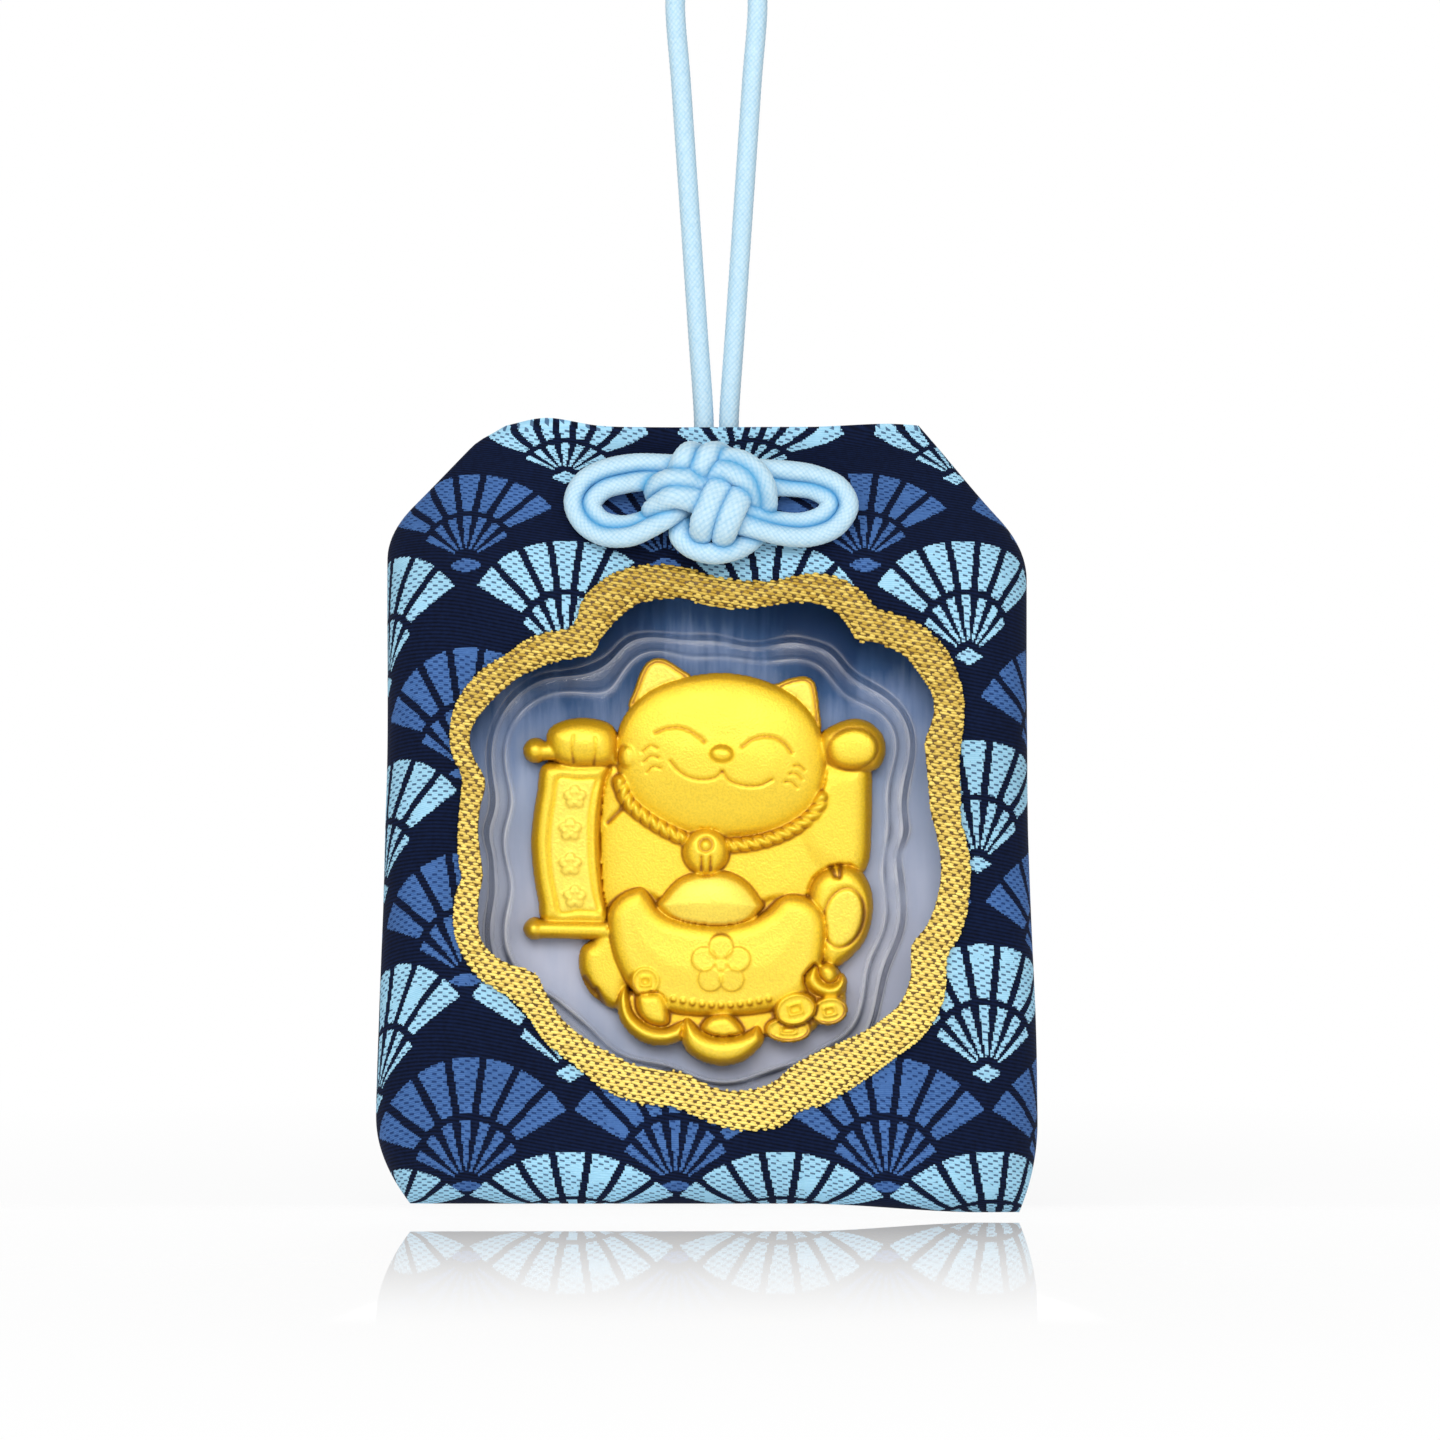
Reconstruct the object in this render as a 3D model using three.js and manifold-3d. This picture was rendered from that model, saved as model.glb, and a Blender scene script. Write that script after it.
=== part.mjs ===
// A brocade amulet pouch on a hanging cord, with a gold cat behind a cloud-shaped window.
// Millimetres, +Z up, front towards -Y. The origin is where a hook carries the loop of the cord.
import * as THREE from "three";
import { mergeVertices } from "three/addons/utils/BufferGeometryUtils.js";
import Module from "manifold-3d";

const wasm = await Module();
wasm.setup();

// Clearances
const GAP = 0.3; // between neighbouring pieces
const BLISTER_GAP = 0.6; // from the blister's top to the cloth in front of it

// Cord
const CORD_DIAMETER = 1.75;
const LOOP_DROP = 40; // hook to the lip of the pouch
const LOOP_BEND = 3.55; // centre-line radius of the bight on the hook
const LOOP_OFFSET = 0.8; // the strands leave the mouth this far right of the pouch's middle
const STRAND_SPACING = 2.2; // between the two strands at the lip
const SWING_RISE = 1.2; // height above the lip where the strands bend as the pouch swings
const CORD_SIDES = 8;

// Knot
const KNOT_DROP = 5.3; // lip to the middle of the knot's crown
const SLIT_DROP = 3.6; // lip to the slit that the strands come through
const CORD_LAYER = 1.5; // a strand over another stands this much further out, as the cord is pressed
const KNOT_STEP = 1.5; // length of one straight piece of cord in the knot
const KNOT_SLOPE_SHARE = 0.5; // the cloth's slope is taken this share of the drop above and below the knot

// Cloth
const FABRIC = 0.8;
const LINING = 0.4;
const LEFT_MOUTH = 18.7; // middle line to the left end of the mouth
const RIGHT_MOUTH = 18.3;
const MOUTH_DEPTH = 6;
const MOUTH_EASE = 14; // the pouch fills out over this length below the lip
const LEFT_SHOULDER_DROP = 8.7;
const RIGHT_SHOULDER_DROP = 10.2;
const SHOULDER_ROUND = 2.4;
const SIDE_MARGIN = 8; // window's side to the pouch's side
const BOTTOM_MARGIN = 10.9; // window's lowest point to the pouch's bottom
const SWELL = 0.95; // each side stands out this much low down
const SIDE_ROUND = 5; // width of the rounded side edges
const BOTTOM_ROUND = 6; // height of the rounded bottom edge
const CORNER_HEIGHT = 7.6; // the bottom corners are drawn in over this height
const LEFT_CORNER_INSET = 2.9;
const RIGHT_CORNER_INSET = 1.6;

// Window, as lobes [x, z, radius] about its middle
const WINDOW_DROP = 35.6; // lip to the middle of the window
const WINDOW_LOBES = [
  [0, 0, 19.2], [7.6, 14.8, 6], [1.5, 14.4, 5.9], [-4.3, 14.9, 6.2], [13.6, 10.9, 5.6], [-13.9, 9, 6.4],
  [-14.2, -3.9, 5.7], [-7.2, -12.6, 5.7], [2.8, -14.2, 6.7], [12.2, -10, 5.6], [13.6, -1.4, 6.2],
];
const WINDOW_HEM = 0.5; // the border reaches this far inside the cut edge of the cloth
const BORDER_WIDTH = 2.7;
const BORDER_THICKNESS = 0.8;

// Blister pack and what stiffens the pouch
const RELIEF = 3.1; // depth of the cat
const BLISTER_WALL = 0.4;
const BLISTER_STEP = 1.2; // plateau edge outside the cat's outline
const BLISTER_SLOPE = 2.2; // run of the sloping wall
const FLANGE = 2;
const CARD = 0.4;
const BACK_SHEET = 0.4;
const BOARD = 1;
const BOARD_RADIUS = 5;
const BOARD_MARGIN = 2.6; // board's edge to the rounded side of the lining
const BOARD_RISE = 22.8; // window's middle to the board's top edge, under the shoulders

// Cat, as bosses [x, z, half width, half height, rise, lean in degrees] about the window's middle
const HEAD = [1.1, 7.6, 9, 7.1, 3, -4];
const LEFT_PAW = [-10.3, 8.5, 2.7, 2.3, 2.7, 0];
const RIGHT_PAW = [12.6, 8.5, 2.6, 2.3, 2.7, 0];
const RIGHT_ARM = [11.8, 2.2, 2.4, 6.4, 1.9, 0];
const BODY = [0.4, -3.5, 11.2, 11, 1.9, 0];
const LEFT_ARM = [-8.4, 4.2, 3, 4.6, 1.5, 0];
const RIGHT_FOOT = [11.2, -5.6, 2.9, 4, 2.3, -18];
const LEFT_FOOT = [-9.4, -11.4, 2, 2.9, 2, 12];
const INGOT_DOME = [0.3, -6, 4.4, 3.4, 2.9, 0];
const LEFT_SMALL_DOME = [-4.8, -14.6, 1.6, 2, 2.7, -20];
const MIDDLE_SMALL_DOME = [1.3, -16.3, 2.1, 1.7, 2.8, 0];
const RIGHT_SMALL_DOME = [10.3, -11.5, 1.1, 1.2, 2.4, -10];
const GROUND = [1.4, -13.6, 9.6, 4.3, 1.4, 0];
const CAT_BOSSES = [
  HEAD, LEFT_PAW, RIGHT_PAW, RIGHT_ARM, BODY, LEFT_ARM, RIGHT_FOOT, LEFT_FOOT, INGOT_DOME,
  LEFT_SMALL_DOME, MIDDLE_SMALL_DOME, RIGHT_SMALL_DOME, GROUND,
];
// Coins as [x, z, radius, rise]
const COINS = [[-5.3, -11.6, 1.4, 2.9], [7.5, -14, 1.8, 2.9], [6.6, -16, 1.9, 2.4], [10.4, -14.4, 1.5, 2.4]];
const COIN_RIM_SHARE = 0.8; // inside of the rim, of the radius
const COIN_STEP_SHARE = 0.15; // height of the rim
const COIN_HOLE_SHARE = 0.5; // side of the square hole
const EAR_HEIGHT = 3.9;
const EAR_WIDTH = 4.8;
const EAR_RISE = 1.3;
const EARS = [[-4.4, 11.6, 22], [7.9, 10.9, -30]];
const INGOT_DEPTH_SHARE = 0.35; // brim to keel, of an ingot's width
const INGOT_HORN_SHARE = 0.15; // the horns rise this far above the brim
const INGOT_BULGE_SHARE = 0.03; // rounding of the edges
const KEEL_SHARE = 0.55; // ends of the keel, of half the width
const TIP_SHARE = 0.86; // tips of the horns
const BRIM_SHARE = 0.46; // ends of the hollow brim
const BIG_INGOT_WIDTH = 19;
const BIG_INGOT_RISE = 2.4;
const SMALL_INGOT_WIDTH = 6.4;
const SMALL_INGOT_RISE = 2.3;
const INGOTS = [
  [0.5, -7.4, BIG_INGOT_WIDTH, BIG_INGOT_RISE, 0],
  [-5, -15.4, SMALL_INGOT_WIDTH, SMALL_INGOT_RISE, -28],
  [1.3, -16.9, SMALL_INGOT_WIDTH * 1.1, SMALL_INGOT_RISE, 0],
  [10.3, -12.1, SMALL_INGOT_WIDTH * 0.62, SMALL_INGOT_RISE, -8],
];
const SCROLL_CENTRE = [-11.9, 0];
const SCROLL_WIDTH = 5.4;
const SCROLL_HEIGHT = 13.6;
const SCROLL_BOW = 1;
const SCROLL_RISE = 1.5;
const SCROLL_EDGE = 0.6;
const ROD_RADIUS = 0.8;
const ROD_KNOB = 1.1;
const ROD_LENGTH = 6.4;
const ROPE_RADIUS = 0.65;
const COLLAR_START = 200; // degrees round the head, from its right side over the top
const COLLAR_SWEEP = 140;
const BELL_RADIUS = 2;
const BELL_FLATNESS = 0.55;

// Sizes that follow from the ones above
const cordRadius = CORD_DIAMETER / 2;
const windowOutline = WINDOW_LOBES.map(([x, z, r]) => [x, z, r, r, 0, 0]);
const rodZ = SCROLL_HEIGHT / 2 + ROD_RADIUS;
const rodEnd = ROD_LENGTH / 2 + ROD_KNOB;
const scrollOutline = [-1, 0, 1].map((k) => {
  const [x, z] = SCROLL_CENTRE;
  return [x, z + k * rodZ, rodEnd, rodEnd, 0, 0];
});
const earOutline = EARS.map(([x, z]) => [x, z, EAR_WIDTH / 2, EAR_HEIGHT, 0, 0]);
const coinOutline = COINS.map(([x, z, r]) => [x, z, r, r, 0, 0]);
const ingotOutline = INGOTS.map(([x, z, width, , lean]) => {
  const depth = width * INGOT_DEPTH_SHARE;
  return [x, z, width / 2, depth, 0, lean];
});
const catOutline = [...CAT_BOSSES, ...scrollOutline, ...earOutline, ...coinOutline, ...ingotOutline];
const FRONT = -1;
const BACK = 1;

// Distance from the window's middle to the edge of a union of ovals, along a ray, with the ovals grown
function reach(ovals, angle, grow) {
  const ray = new THREE.Vector2(Math.cos(angle), Math.sin(angle));
  let far = 0;
  for (const [x, z, halfWidth, halfHeight, , lean] of ovals) {
    const turn = THREE.MathUtils.degToRad(-lean);
    const size = new THREE.Vector2(halfWidth + grow, halfHeight + grow);
    const from = new THREE.Vector2(-x, -z).rotateAround(new THREE.Vector2(), turn).divide(size);
    const along = ray.clone().rotateAround(new THREE.Vector2(), turn).divide(size);
    const a = along.lengthSq();
    const b = from.dot(along);
    const inside = b * b - a * (from.lengthSq() - 1);
    if (inside > 0) far = Math.max(far, (-b + Math.sqrt(inside)) / a);
  }
  return far;
}

const windowSide = Math.max(reach(windowOutline, 0, 0), reach(windowOutline, Math.PI, 0));
const windowBottom = reach(windowOutline, -Math.PI / 2, 0);
const bodyHalfWidth = windowSide + SIDE_MARGIN;
const pouchHeight = WINDOW_DROP + windowBottom + BOTTOM_MARGIN;

// The stack from front to back, as thicknesses with the gaps between
const packDepth = BLISTER_WALL + RELIEF + CARD + BACK_SHEET + BOARD;
const pouchDepth = 2 * FABRIC + BLISTER_GAP + packDepth + LINING + 6 * GAP;
const clothBack = -pouchDepth / 2 + FABRIC;
const blisterTop = clothBack + BLISTER_GAP;
const catFront = blisterTop + BLISTER_WALL + GAP;
const catBack = catFront + RELIEF;
const flangeFront = catBack - BLISTER_WALL;
const cardFront = catBack + GAP;
const sheetFront = cardFront + CARD + GAP;
const boardFront = sheetFront + BACK_SHEET + GAP;

// Mesh helpers

function solid(geometry) {
  const bare = geometry.clone();
  bare.deleteAttribute("normal");
  bare.deleteAttribute("uv");
  const merged = mergeVertices(bare);
  const mesh = new wasm.Mesh({
    numProp: 3,
    vertProperties: new Float32Array(merged.attributes.position.array),
    triVerts: new Uint32Array(merged.index.array),
  });
  return new wasm.Manifold(mesh);
}

function geometryOf(manifold) {
  const mesh = manifold.getMesh();
  const geometry = new THREE.BufferGeometry();
  geometry.setAttribute("position", new THREE.BufferAttribute(mesh.vertProperties.slice(), 3));
  geometry.setIndex(new THREE.BufferAttribute(mesh.triVerts.slice(), 1));
  geometry.computeVertexNormals();
  return geometry;
}

function join(solids) {
  return solids.reduce((whole, piece) => whole.add(piece));
}

function indexed(points, triangles) {
  const geometry = new THREE.BufferGeometry();
  geometry.setFromPoints(points);
  geometry.setIndex(triangles);
  return geometry;
}

// A skin through rings of equally many points, closed at both ends by a fan
function loft(rings) {
  const count = rings[0].length;
  const points = rings.flat();
  const triangles = [];
  for (let ring = 0; ring + 1 < rings.length; ring += 1) {
    for (let i = 0; i < count; i += 1) {
      const a = ring * count + i;
      const b = ring * count + ((i + 1) % count);
      triangles.push(a, b, b + count, a, b + count, a + count);
    }
  }
  for (const [first, flip] of [[0, true], [(rings.length - 1) * count, false]]) {
    const middle = new THREE.Vector3();
    for (let i = 0; i < count; i += 1) middle.add(points[first + i]);
    points.push(middle.divideScalar(count));
    for (let i = 0; i < count; i += 1) {
      const a = first + i;
      const b = first + ((i + 1) % count);
      triangles.push(flip ? b : a, flip ? a : b, points.length - 1);
    }
  }
  return indexed(points, triangles);
}

// One ring of a lobed outline at depth y, seen from the front
function lobedRing(outlines, y, segments) {
  const ring = [];
  for (let i = 0; i < segments; i += 1) {
    const angle = (2 * Math.PI * i) / segments;
    const far = Math.max(...outlines.map(([ovals, grow]) => reach(ovals, angle, grow)));
    ring.push(new THREE.Vector3(far * Math.cos(angle), y, far * Math.sin(angle)));
  }
  return ring;
}

function lobedPrism(outlines, segments) {
  const half = 2 * pouchDepth;
  return solid(loft([lobedRing(outlines, half, segments), lobedRing(outlines, -half, segments)]));
}

function plate(width, top, bottom, radius, front, thickness) {
  const shape = new THREE.Shape();
  const side = width / 2;
  shape.moveTo(side, top - radius);
  shape.absarc(side - radius, top - radius, radius, 0, Math.PI / 2);
  shape.absarc(radius - side, top - radius, radius, Math.PI / 2, Math.PI);
  shape.absarc(radius - side, bottom + radius, radius, Math.PI, Math.PI * 1.5);
  shape.absarc(side - radius, bottom + radius, radius, Math.PI * 1.5, Math.PI * 2);
  return slab(shape, front, thickness, {});
}

// An outline drawn in x and z, made thick from the depth `front` towards the back
function slab(shape, front, thickness, bevel) {
  const settings = { depth: thickness, bevelEnabled: false, curveSegments: 8, ...bevel };
  const geometry = new THREE.ExtrudeGeometry(shape, settings);
  geometry.rotateX(Math.PI / 2);
  geometry.translate(0, front + thickness, 0);
  return geometry;
}

// Pouch: half width, half depth and edge rounding at a distance below the lip

const LEFT = { mouth: LEFT_MOUTH, shoulderDrop: LEFT_SHOULDER_DROP, cornerInset: LEFT_CORNER_INSET };
const RIGHT = { mouth: RIGHT_MOUTH, shoulderDrop: RIGHT_SHOULDER_DROP, cornerInset: RIGHT_CORNER_INSET };

function halfWidthAt(drop, height, { mouth, shoulderDrop, cornerInset }) {
  const slope = (bodyHalfWidth - mouth) / shoulderDrop;
  const shoulder = mouth + slope * drop;
  const blend = Math.max(SHOULDER_ROUND - Math.abs(shoulder - bodyHalfWidth), 0) / SHOULDER_ROUND;
  const body = Math.min(shoulder, bodyHalfWidth) - (blend * blend * SHOULDER_ROUND) / 4;
  const low = (drop - shoulderDrop) / (pouchHeight - shoulderDrop);
  const swell = SWELL * THREE.MathUtils.smoothstep(low, 0.3, 0.9);
  const corner = Math.max(CORNER_HEIGHT - (height - drop), 0) / CORNER_HEIGHT;
  return body + swell - cornerInset * corner ** 2;
}

function mouthShare(drop) {
  return 1 - THREE.MathUtils.smoothstep(drop, 0, MOUTH_EASE);
}

function halfDepthAt(drop, height, grow) {
  const full = THREE.MathUtils.lerp(pouchDepth / 2, MOUTH_DEPTH / 2, mouthShare(drop)) - GAP / 2 + grow;
  const low = Math.max(BOTTOM_ROUND - (height - drop), 0) / BOTTOM_ROUND;
  return full * Math.sqrt(Math.max(1 - low * low, 0));
}

// How many facets a sheet of the pouch has: round a side edge, across the flat, and down each zone
const CLOTH_COUNTS = { sideCount: 5, flatCount: 4, mouthCount: 8, middleCount: 4, bottomCount: 6 };
const LINING_COUNTS = { sideCount: 3, flatCount: 4, mouthCount: 5, middleCount: 4, bottomCount: 4 };

// The quarter round from a side seam to the flat face, as [distance from the middle line, depth]
function sideEdge(drop, height, grow, hand, sideCount) {
  const width = halfWidthAt(drop, height, hand) + grow;
  const depth = halfDepthAt(drop, height, grow);
  const edge = THREE.MathUtils.lerp(SIDE_ROUND + grow, width, mouthShare(drop));
  const points = [];
  for (let i = 0; i <= sideCount; i += 1) {
    const angle = (Math.PI / 2) * (i / sideCount);
    points.push([width - edge + edge * Math.cos(angle), depth * Math.sin(angle)]);
  }
  return points;
}

// Points across one half of the pouch, from the left seam over the face to the right seam
function section(drop, height, grow, { sideCount, flatCount }) {
  const left = sideEdge(drop, height, grow, LEFT, sideCount);
  const right = sideEdge(drop, height, grow, RIGHT, sideCount);
  const points = left.map(([out, deep]) => new THREE.Vector2(-out, deep));
  const [flatLeft, depth] = left.at(-1);
  const [flatRight] = right.at(-1);
  for (let i = 1; i < flatCount; i += 1) {
    const x = THREE.MathUtils.lerp(-flatLeft, flatRight, i / flatCount);
    points.push(new THREE.Vector2(x, depth));
  }
  points.push(...right.reverse().map(([out, deep]) => new THREE.Vector2(out, deep)));
  return points;
}

// Distances below the lip where the pouch's form is drawn
function stations(height, { mouthCount, middleCount, bottomCount }) {
  const drops = [];
  const low = height - BOTTOM_ROUND;
  for (let i = 0; i < mouthCount; i += 1) {
    drops.push((MOUTH_EASE * i) / mouthCount);
  }
  for (let i = 0; i < middleCount; i += 1) {
    drops.push(THREE.MathUtils.lerp(MOUTH_EASE, low, i / middleCount));
  }
  for (let i = 0; i <= bottomCount; i += 1) {
    drops.push(low + BOTTOM_ROUND * Math.sin((Math.PI / 2) * (i / bottomCount)));
  }
  return drops;
}

function skinPoints(grow, side, counts) {
  const height = pouchHeight + grow;
  return stations(height, counts).map((drop) =>
    section(drop, height, grow, counts).map((p) => new THREE.Vector3(p.x, side * (p.y + GAP / 2), -drop)));
}

// Half of the pouch as a sheet between two offsets of its form
function halfShell(outerGrow, innerGrow, side, counts) {
  const outer = skinPoints(outerGrow, side, counts);
  const inner = skinPoints(innerGrow, side, counts);
  const rings = outer.map((row, k) => [...row, ...inner[k].slice().reverse()]);
  if (side === BACK) rings.forEach((ring) => ring.reverse());
  const count = rings[0].length;
  const points = rings.flat();
  const triangles = [];
  for (let k = 0; k + 1 < rings.length; k += 1) {
    for (let i = 0; i < count; i += 1) {
      const a = k * count + i;
      const b = k * count + ((i + 1) % count);
      triangles.push(a, a + count, b, b, a + count, b + count);
    }
  }
  for (const [first, flip] of [[0, false], [(rings.length - 1) * count, true]]) {
    for (let i = 0; i + 1 < count / 2; i += 1) {
      const quad = [first + i, first + i + 1, first + count - 2 - i, first + count - 1 - i];
      if (flip) quad.reverse();
      triangles.push(quad[0], quad[1], quad[2], quad[0], quad[2], quad[3]);
    }
  }
  return solid(indexed(points, triangles));
}

const WINDOW_SEGMENTS = 64;

// A lobed cut that goes with the window's middle
function atWindow(manifold) {
  return manifold.translate([0, 0, -WINDOW_DROP]);
}

function cordSlit() {
  const radius = cordRadius + GAP;
  const shape = new THREE.Shape();
  shape.absarc(STRAND_SPACING / 2, 0, radius, -Math.PI / 2, Math.PI / 2);
  shape.absarc(-STRAND_SPACING / 2, 0, radius, Math.PI / 2, Math.PI * 1.5);
  const cut = slab(shape, -pouchDepth, pouchDepth, {});
  cut.translate(LOOP_OFFSET, 0, -SLIT_DROP);
  return solid(cut);
}

function frontPanel() {
  const window = atWindow(lobedPrism([[windowOutline, WINDOW_HEM]], WINDOW_SEGMENTS));
  return geometryOf(halfShell(0, -FABRIC, FRONT, CLOTH_COUNTS).subtract(window).subtract(cordSlit()));
}

function backPanel() {
  return geometryOf(halfShell(0, -FABRIC, BACK, CLOTH_COUNTS));
}

const liningGrow = -(FABRIC + GAP);

function frontLining() {
  const base = BLISTER_STEP + BLISTER_SLOPE + GAP;
  const window = atWindow(lobedPrism([[windowOutline, BORDER_WIDTH], [catOutline, base]], WINDOW_SEGMENTS));
  const sheet = halfShell(liningGrow, liningGrow - LINING, FRONT, LINING_COUNTS);
  return geometryOf(sheet.subtract(window).subtract(cordSlit()));
}

function backLining() {
  return geometryOf(halfShell(liningGrow, liningGrow - LINING, BACK, LINING_COUNTS));
}

function windowBorder() {
  const sheet = halfShell(GAP + BORDER_THICKNESS, GAP, FRONT, CLOTH_COUNTS);
  const outer = atWindow(lobedPrism([[windowOutline, BORDER_WIDTH]], WINDOW_SEGMENTS));
  const inner = atWindow(lobedPrism([[windowOutline, 0]], WINDOW_SEGMENTS));
  return geometryOf(sheet.intersect(outer).subtract(inner));
}

// Wall of the blister as shares [of the slope's run, of the rise]: foot, half-way step, rounded shoulder
const BLISTER_PROFILE = [[1, 0], [0.72, 0.12], [0.62, 0.5], [0.18, 0.62], [0, 0.88], [-0.12, 1]];

// Blister: a flat flange and a dome whose wall runs down in two soft steps around the cat
function blisterCover() {
  const flange = [[windowOutline, FLANGE], [catOutline, BLISTER_STEP + BLISTER_SLOPE + FLANGE]];
  const rise = flangeFront - blisterTop;
  const ring = (out, up, inset) => {
    const grow = BLISTER_STEP + BLISTER_SLOPE * out - inset;
    return lobedRing([[catOutline, grow]], flangeFront - rise * up + inset, WINDOW_SEGMENTS);
  };
  const rings = BLISTER_PROFILE.map(([out, up]) => ring(out, up, BLISTER_WALL)).reverse();
  rings.push(lobedRing(flange, flangeFront + BLISTER_WALL, WINDOW_SEGMENTS));
  rings.push(lobedRing(flange, flangeFront, WINDOW_SEGMENTS));
  rings.push(...BLISTER_PROFILE.map(([out, up]) => ring(out, up, 0)));
  return loft(rings);
}

function packPlate(front, thickness, margin) {
  const lining = bodyHalfWidth + liningGrow - LINING;
  const width = 2 * (lining - BOARD_MARGIN - margin);
  const top = BOARD_RISE + margin;
  const bottom = BOTTOM_ROUND - windowBottom - BOTTOM_MARGIN + margin;
  return plate(width, top, bottom, BOARD_RADIUS, front, thickness);
}

// Cat

function boss([x, z, halfWidth, halfHeight, rise, lean]) {
  const geometry = new THREE.SphereGeometry(1, 14, 10);
  geometry.scale(halfWidth, rise, halfHeight);
  geometry.rotateY(THREE.MathUtils.degToRad(-lean));
  geometry.translate(x, catBack, z);
  return solid(geometry);
}

function ear([x, z, lean]) {
  const shape = new THREE.Shape();
  shape.moveTo(-EAR_WIDTH / 2, -EAR_HEIGHT / 2);
  shape.lineTo(EAR_WIDTH / 2, -EAR_HEIGHT / 2);
  shape.quadraticCurveTo(EAR_WIDTH * 0.4, EAR_HEIGHT * 0.6, 0, EAR_HEIGHT);
  shape.quadraticCurveTo(-EAR_WIDTH * 0.4, EAR_HEIGHT * 0.6, -EAR_WIDTH / 2, -EAR_HEIGHT / 2);
  const geometry = slab(shape, 0, EAR_RISE, { curveSegments: 5 });
  geometry.rotateY(THREE.MathUtils.degToRad(-lean));
  geometry.translate(x, catBack - EAR_RISE, z);
  return solid(geometry);
}

// A boat-shaped ingot: a keel that bows down, two horns that curl up and a hollow brim between them
function ingot([x, z, width, rise, lean]) {
  const half = width / 2;
  const depth = width * INGOT_DEPTH_SHARE;
  const horn = width * INGOT_HORN_SHARE;
  const bulge = width * INGOT_BULGE_SHARE;
  const keel = half * KEEL_SHARE;
  const tip = half * TIP_SHARE;
  const brim = half * BRIM_SHARE;
  const shape = new THREE.Shape();
  shape.moveTo(-keel, -depth);
  shape.quadraticCurveTo(0, -depth * 1.16, keel, -depth);
  shape.bezierCurveTo(tip, -depth * 0.8, half * 1.08, 0, tip, horn);
  shape.quadraticCurveTo(half * 0.62, horn * 0.9, brim, 0);
  shape.quadraticCurveTo(0, -horn * 0.5, -brim, 0);
  shape.quadraticCurveTo(-half * 0.62, horn * 0.9, -tip, horn);
  shape.bezierCurveTo(-half * 1.08, 0, -tip, -depth * 0.8, -keel, -depth);
  const geometry = slab(shape, 0, rise, {
    curveSegments: 6,
    bevelEnabled: true,
    bevelThickness: bulge,
    bevelSize: bulge,
    bevelOffset: -bulge,
    bevelSegments: 3,
  });
  geometry.rotateY(THREE.MathUtils.degToRad(-lean));
  geometry.translate(x, catBack - rise, z);
  return solid(geometry);
}

function scrollShape(inset) {
  const side = SCROLL_WIDTH / 2 - inset;
  const end = SCROLL_HEIGHT / 2 - inset;
  const shape = new THREE.Shape();
  shape.moveTo(-side, -end);
  shape.lineTo(side, -end);
  shape.quadraticCurveTo(side - SCROLL_BOW, 0, side, end);
  shape.lineTo(-side, end);
  shape.quadraticCurveTo(-side - SCROLL_BOW, 0, -side, -end);
  return shape;
}

function scroll() {
  const paper = slab(scrollShape(0), catBack - SCROLL_RISE, SCROLL_RISE, {});
  const field = slab(scrollShape(SCROLL_EDGE), catBack - SCROLL_RISE - GAP, 2 * GAP, {});
  const pieces = [solid(paper).subtract(solid(field))];
  for (const z of [-rodZ, rodZ]) {
    const rod = new THREE.CylinderGeometry(ROD_RADIUS, ROD_RADIUS, ROD_LENGTH, 12);
    rod.rotateZ(Math.PI / 2);
    rod.translate(0, catBack - SCROLL_RISE, z);
    pieces.push(solid(rod));
    for (const end of [-1, 1]) {
      const knob = new THREE.SphereGeometry(ROD_KNOB, 12, 8);
      knob.translate((end * ROD_LENGTH) / 2, catBack - SCROLL_RISE, z);
      pieces.push(solid(knob));
    }
  }
  return join(pieces).translate([SCROLL_CENTRE[0], 0, SCROLL_CENTRE[1]]);
}

// A coin with a raised rim and a square hole
function coin([x, z, radius, rise]) {
  const rim = radius * COIN_RIM_SHARE;
  const step = radius * COIN_STEP_SHARE;
  const side = radius * COIN_HOLE_SHARE;
  const profile = [[0, 0], [radius, 0], [radius, rise], [rim, rise], [rim, rise - step], [0, rise - step]];
  const disc = new THREE.LatheGeometry(profile.map(([r, y]) => new THREE.Vector2(r, -y)).reverse(), 20);
  const hole = new THREE.BoxGeometry(side, rise, side);
  hole.translate(0, -rise, 0);
  return solid(disc).subtract(solid(hole)).translate([x, catBack, z]);
}

// Rope collar, along the lower edge of the head, and the bell on it
function collar() {
  const [x, z, halfWidth, halfHeight] = HEAD;
  const points = [];
  for (let i = 0; i <= 8; i += 1) {
    const angle = THREE.MathUtils.degToRad(COLLAR_START + COLLAR_SWEEP * (i / 8));
    const down = (halfHeight + ROPE_RADIUS) * Math.sin(angle);
    points.push(new THREE.Vector3(halfWidth * Math.cos(angle), 0, down));
  }
  const rope = sweep(new THREE.CatmullRomCurve3(points), ROPE_RADIUS, 16, 8);
  const depth = catBack - BODY[4];
  const bell = new THREE.SphereGeometry(BELL_RADIUS, 16, 10);
  bell.scale(1, BELL_FLATNESS, 1);
  bell.translate(-ROPE_RADIUS * 2, 0, -halfHeight - ROPE_RADIUS * 1.5);
  return solid(rope).add(solid(bell)).translate([x, depth, z]);
}

function luckyCat() {
  const treasure = [...COINS.map(coin), ...INGOTS.map(ingot)];
  const pieces = [...CAT_BOSSES.map(boss), ...EARS.map(ear), ...treasure, scroll(), collar()];
  const behind = new THREE.BoxGeometry(4 * bodyHalfWidth, pouchDepth, 4 * bodyHalfWidth);
  behind.translate(0, catBack + pouchDepth / 2, 0);
  return geometryOf(join(pieces).subtract(solid(behind)));
}

// Cord

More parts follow.
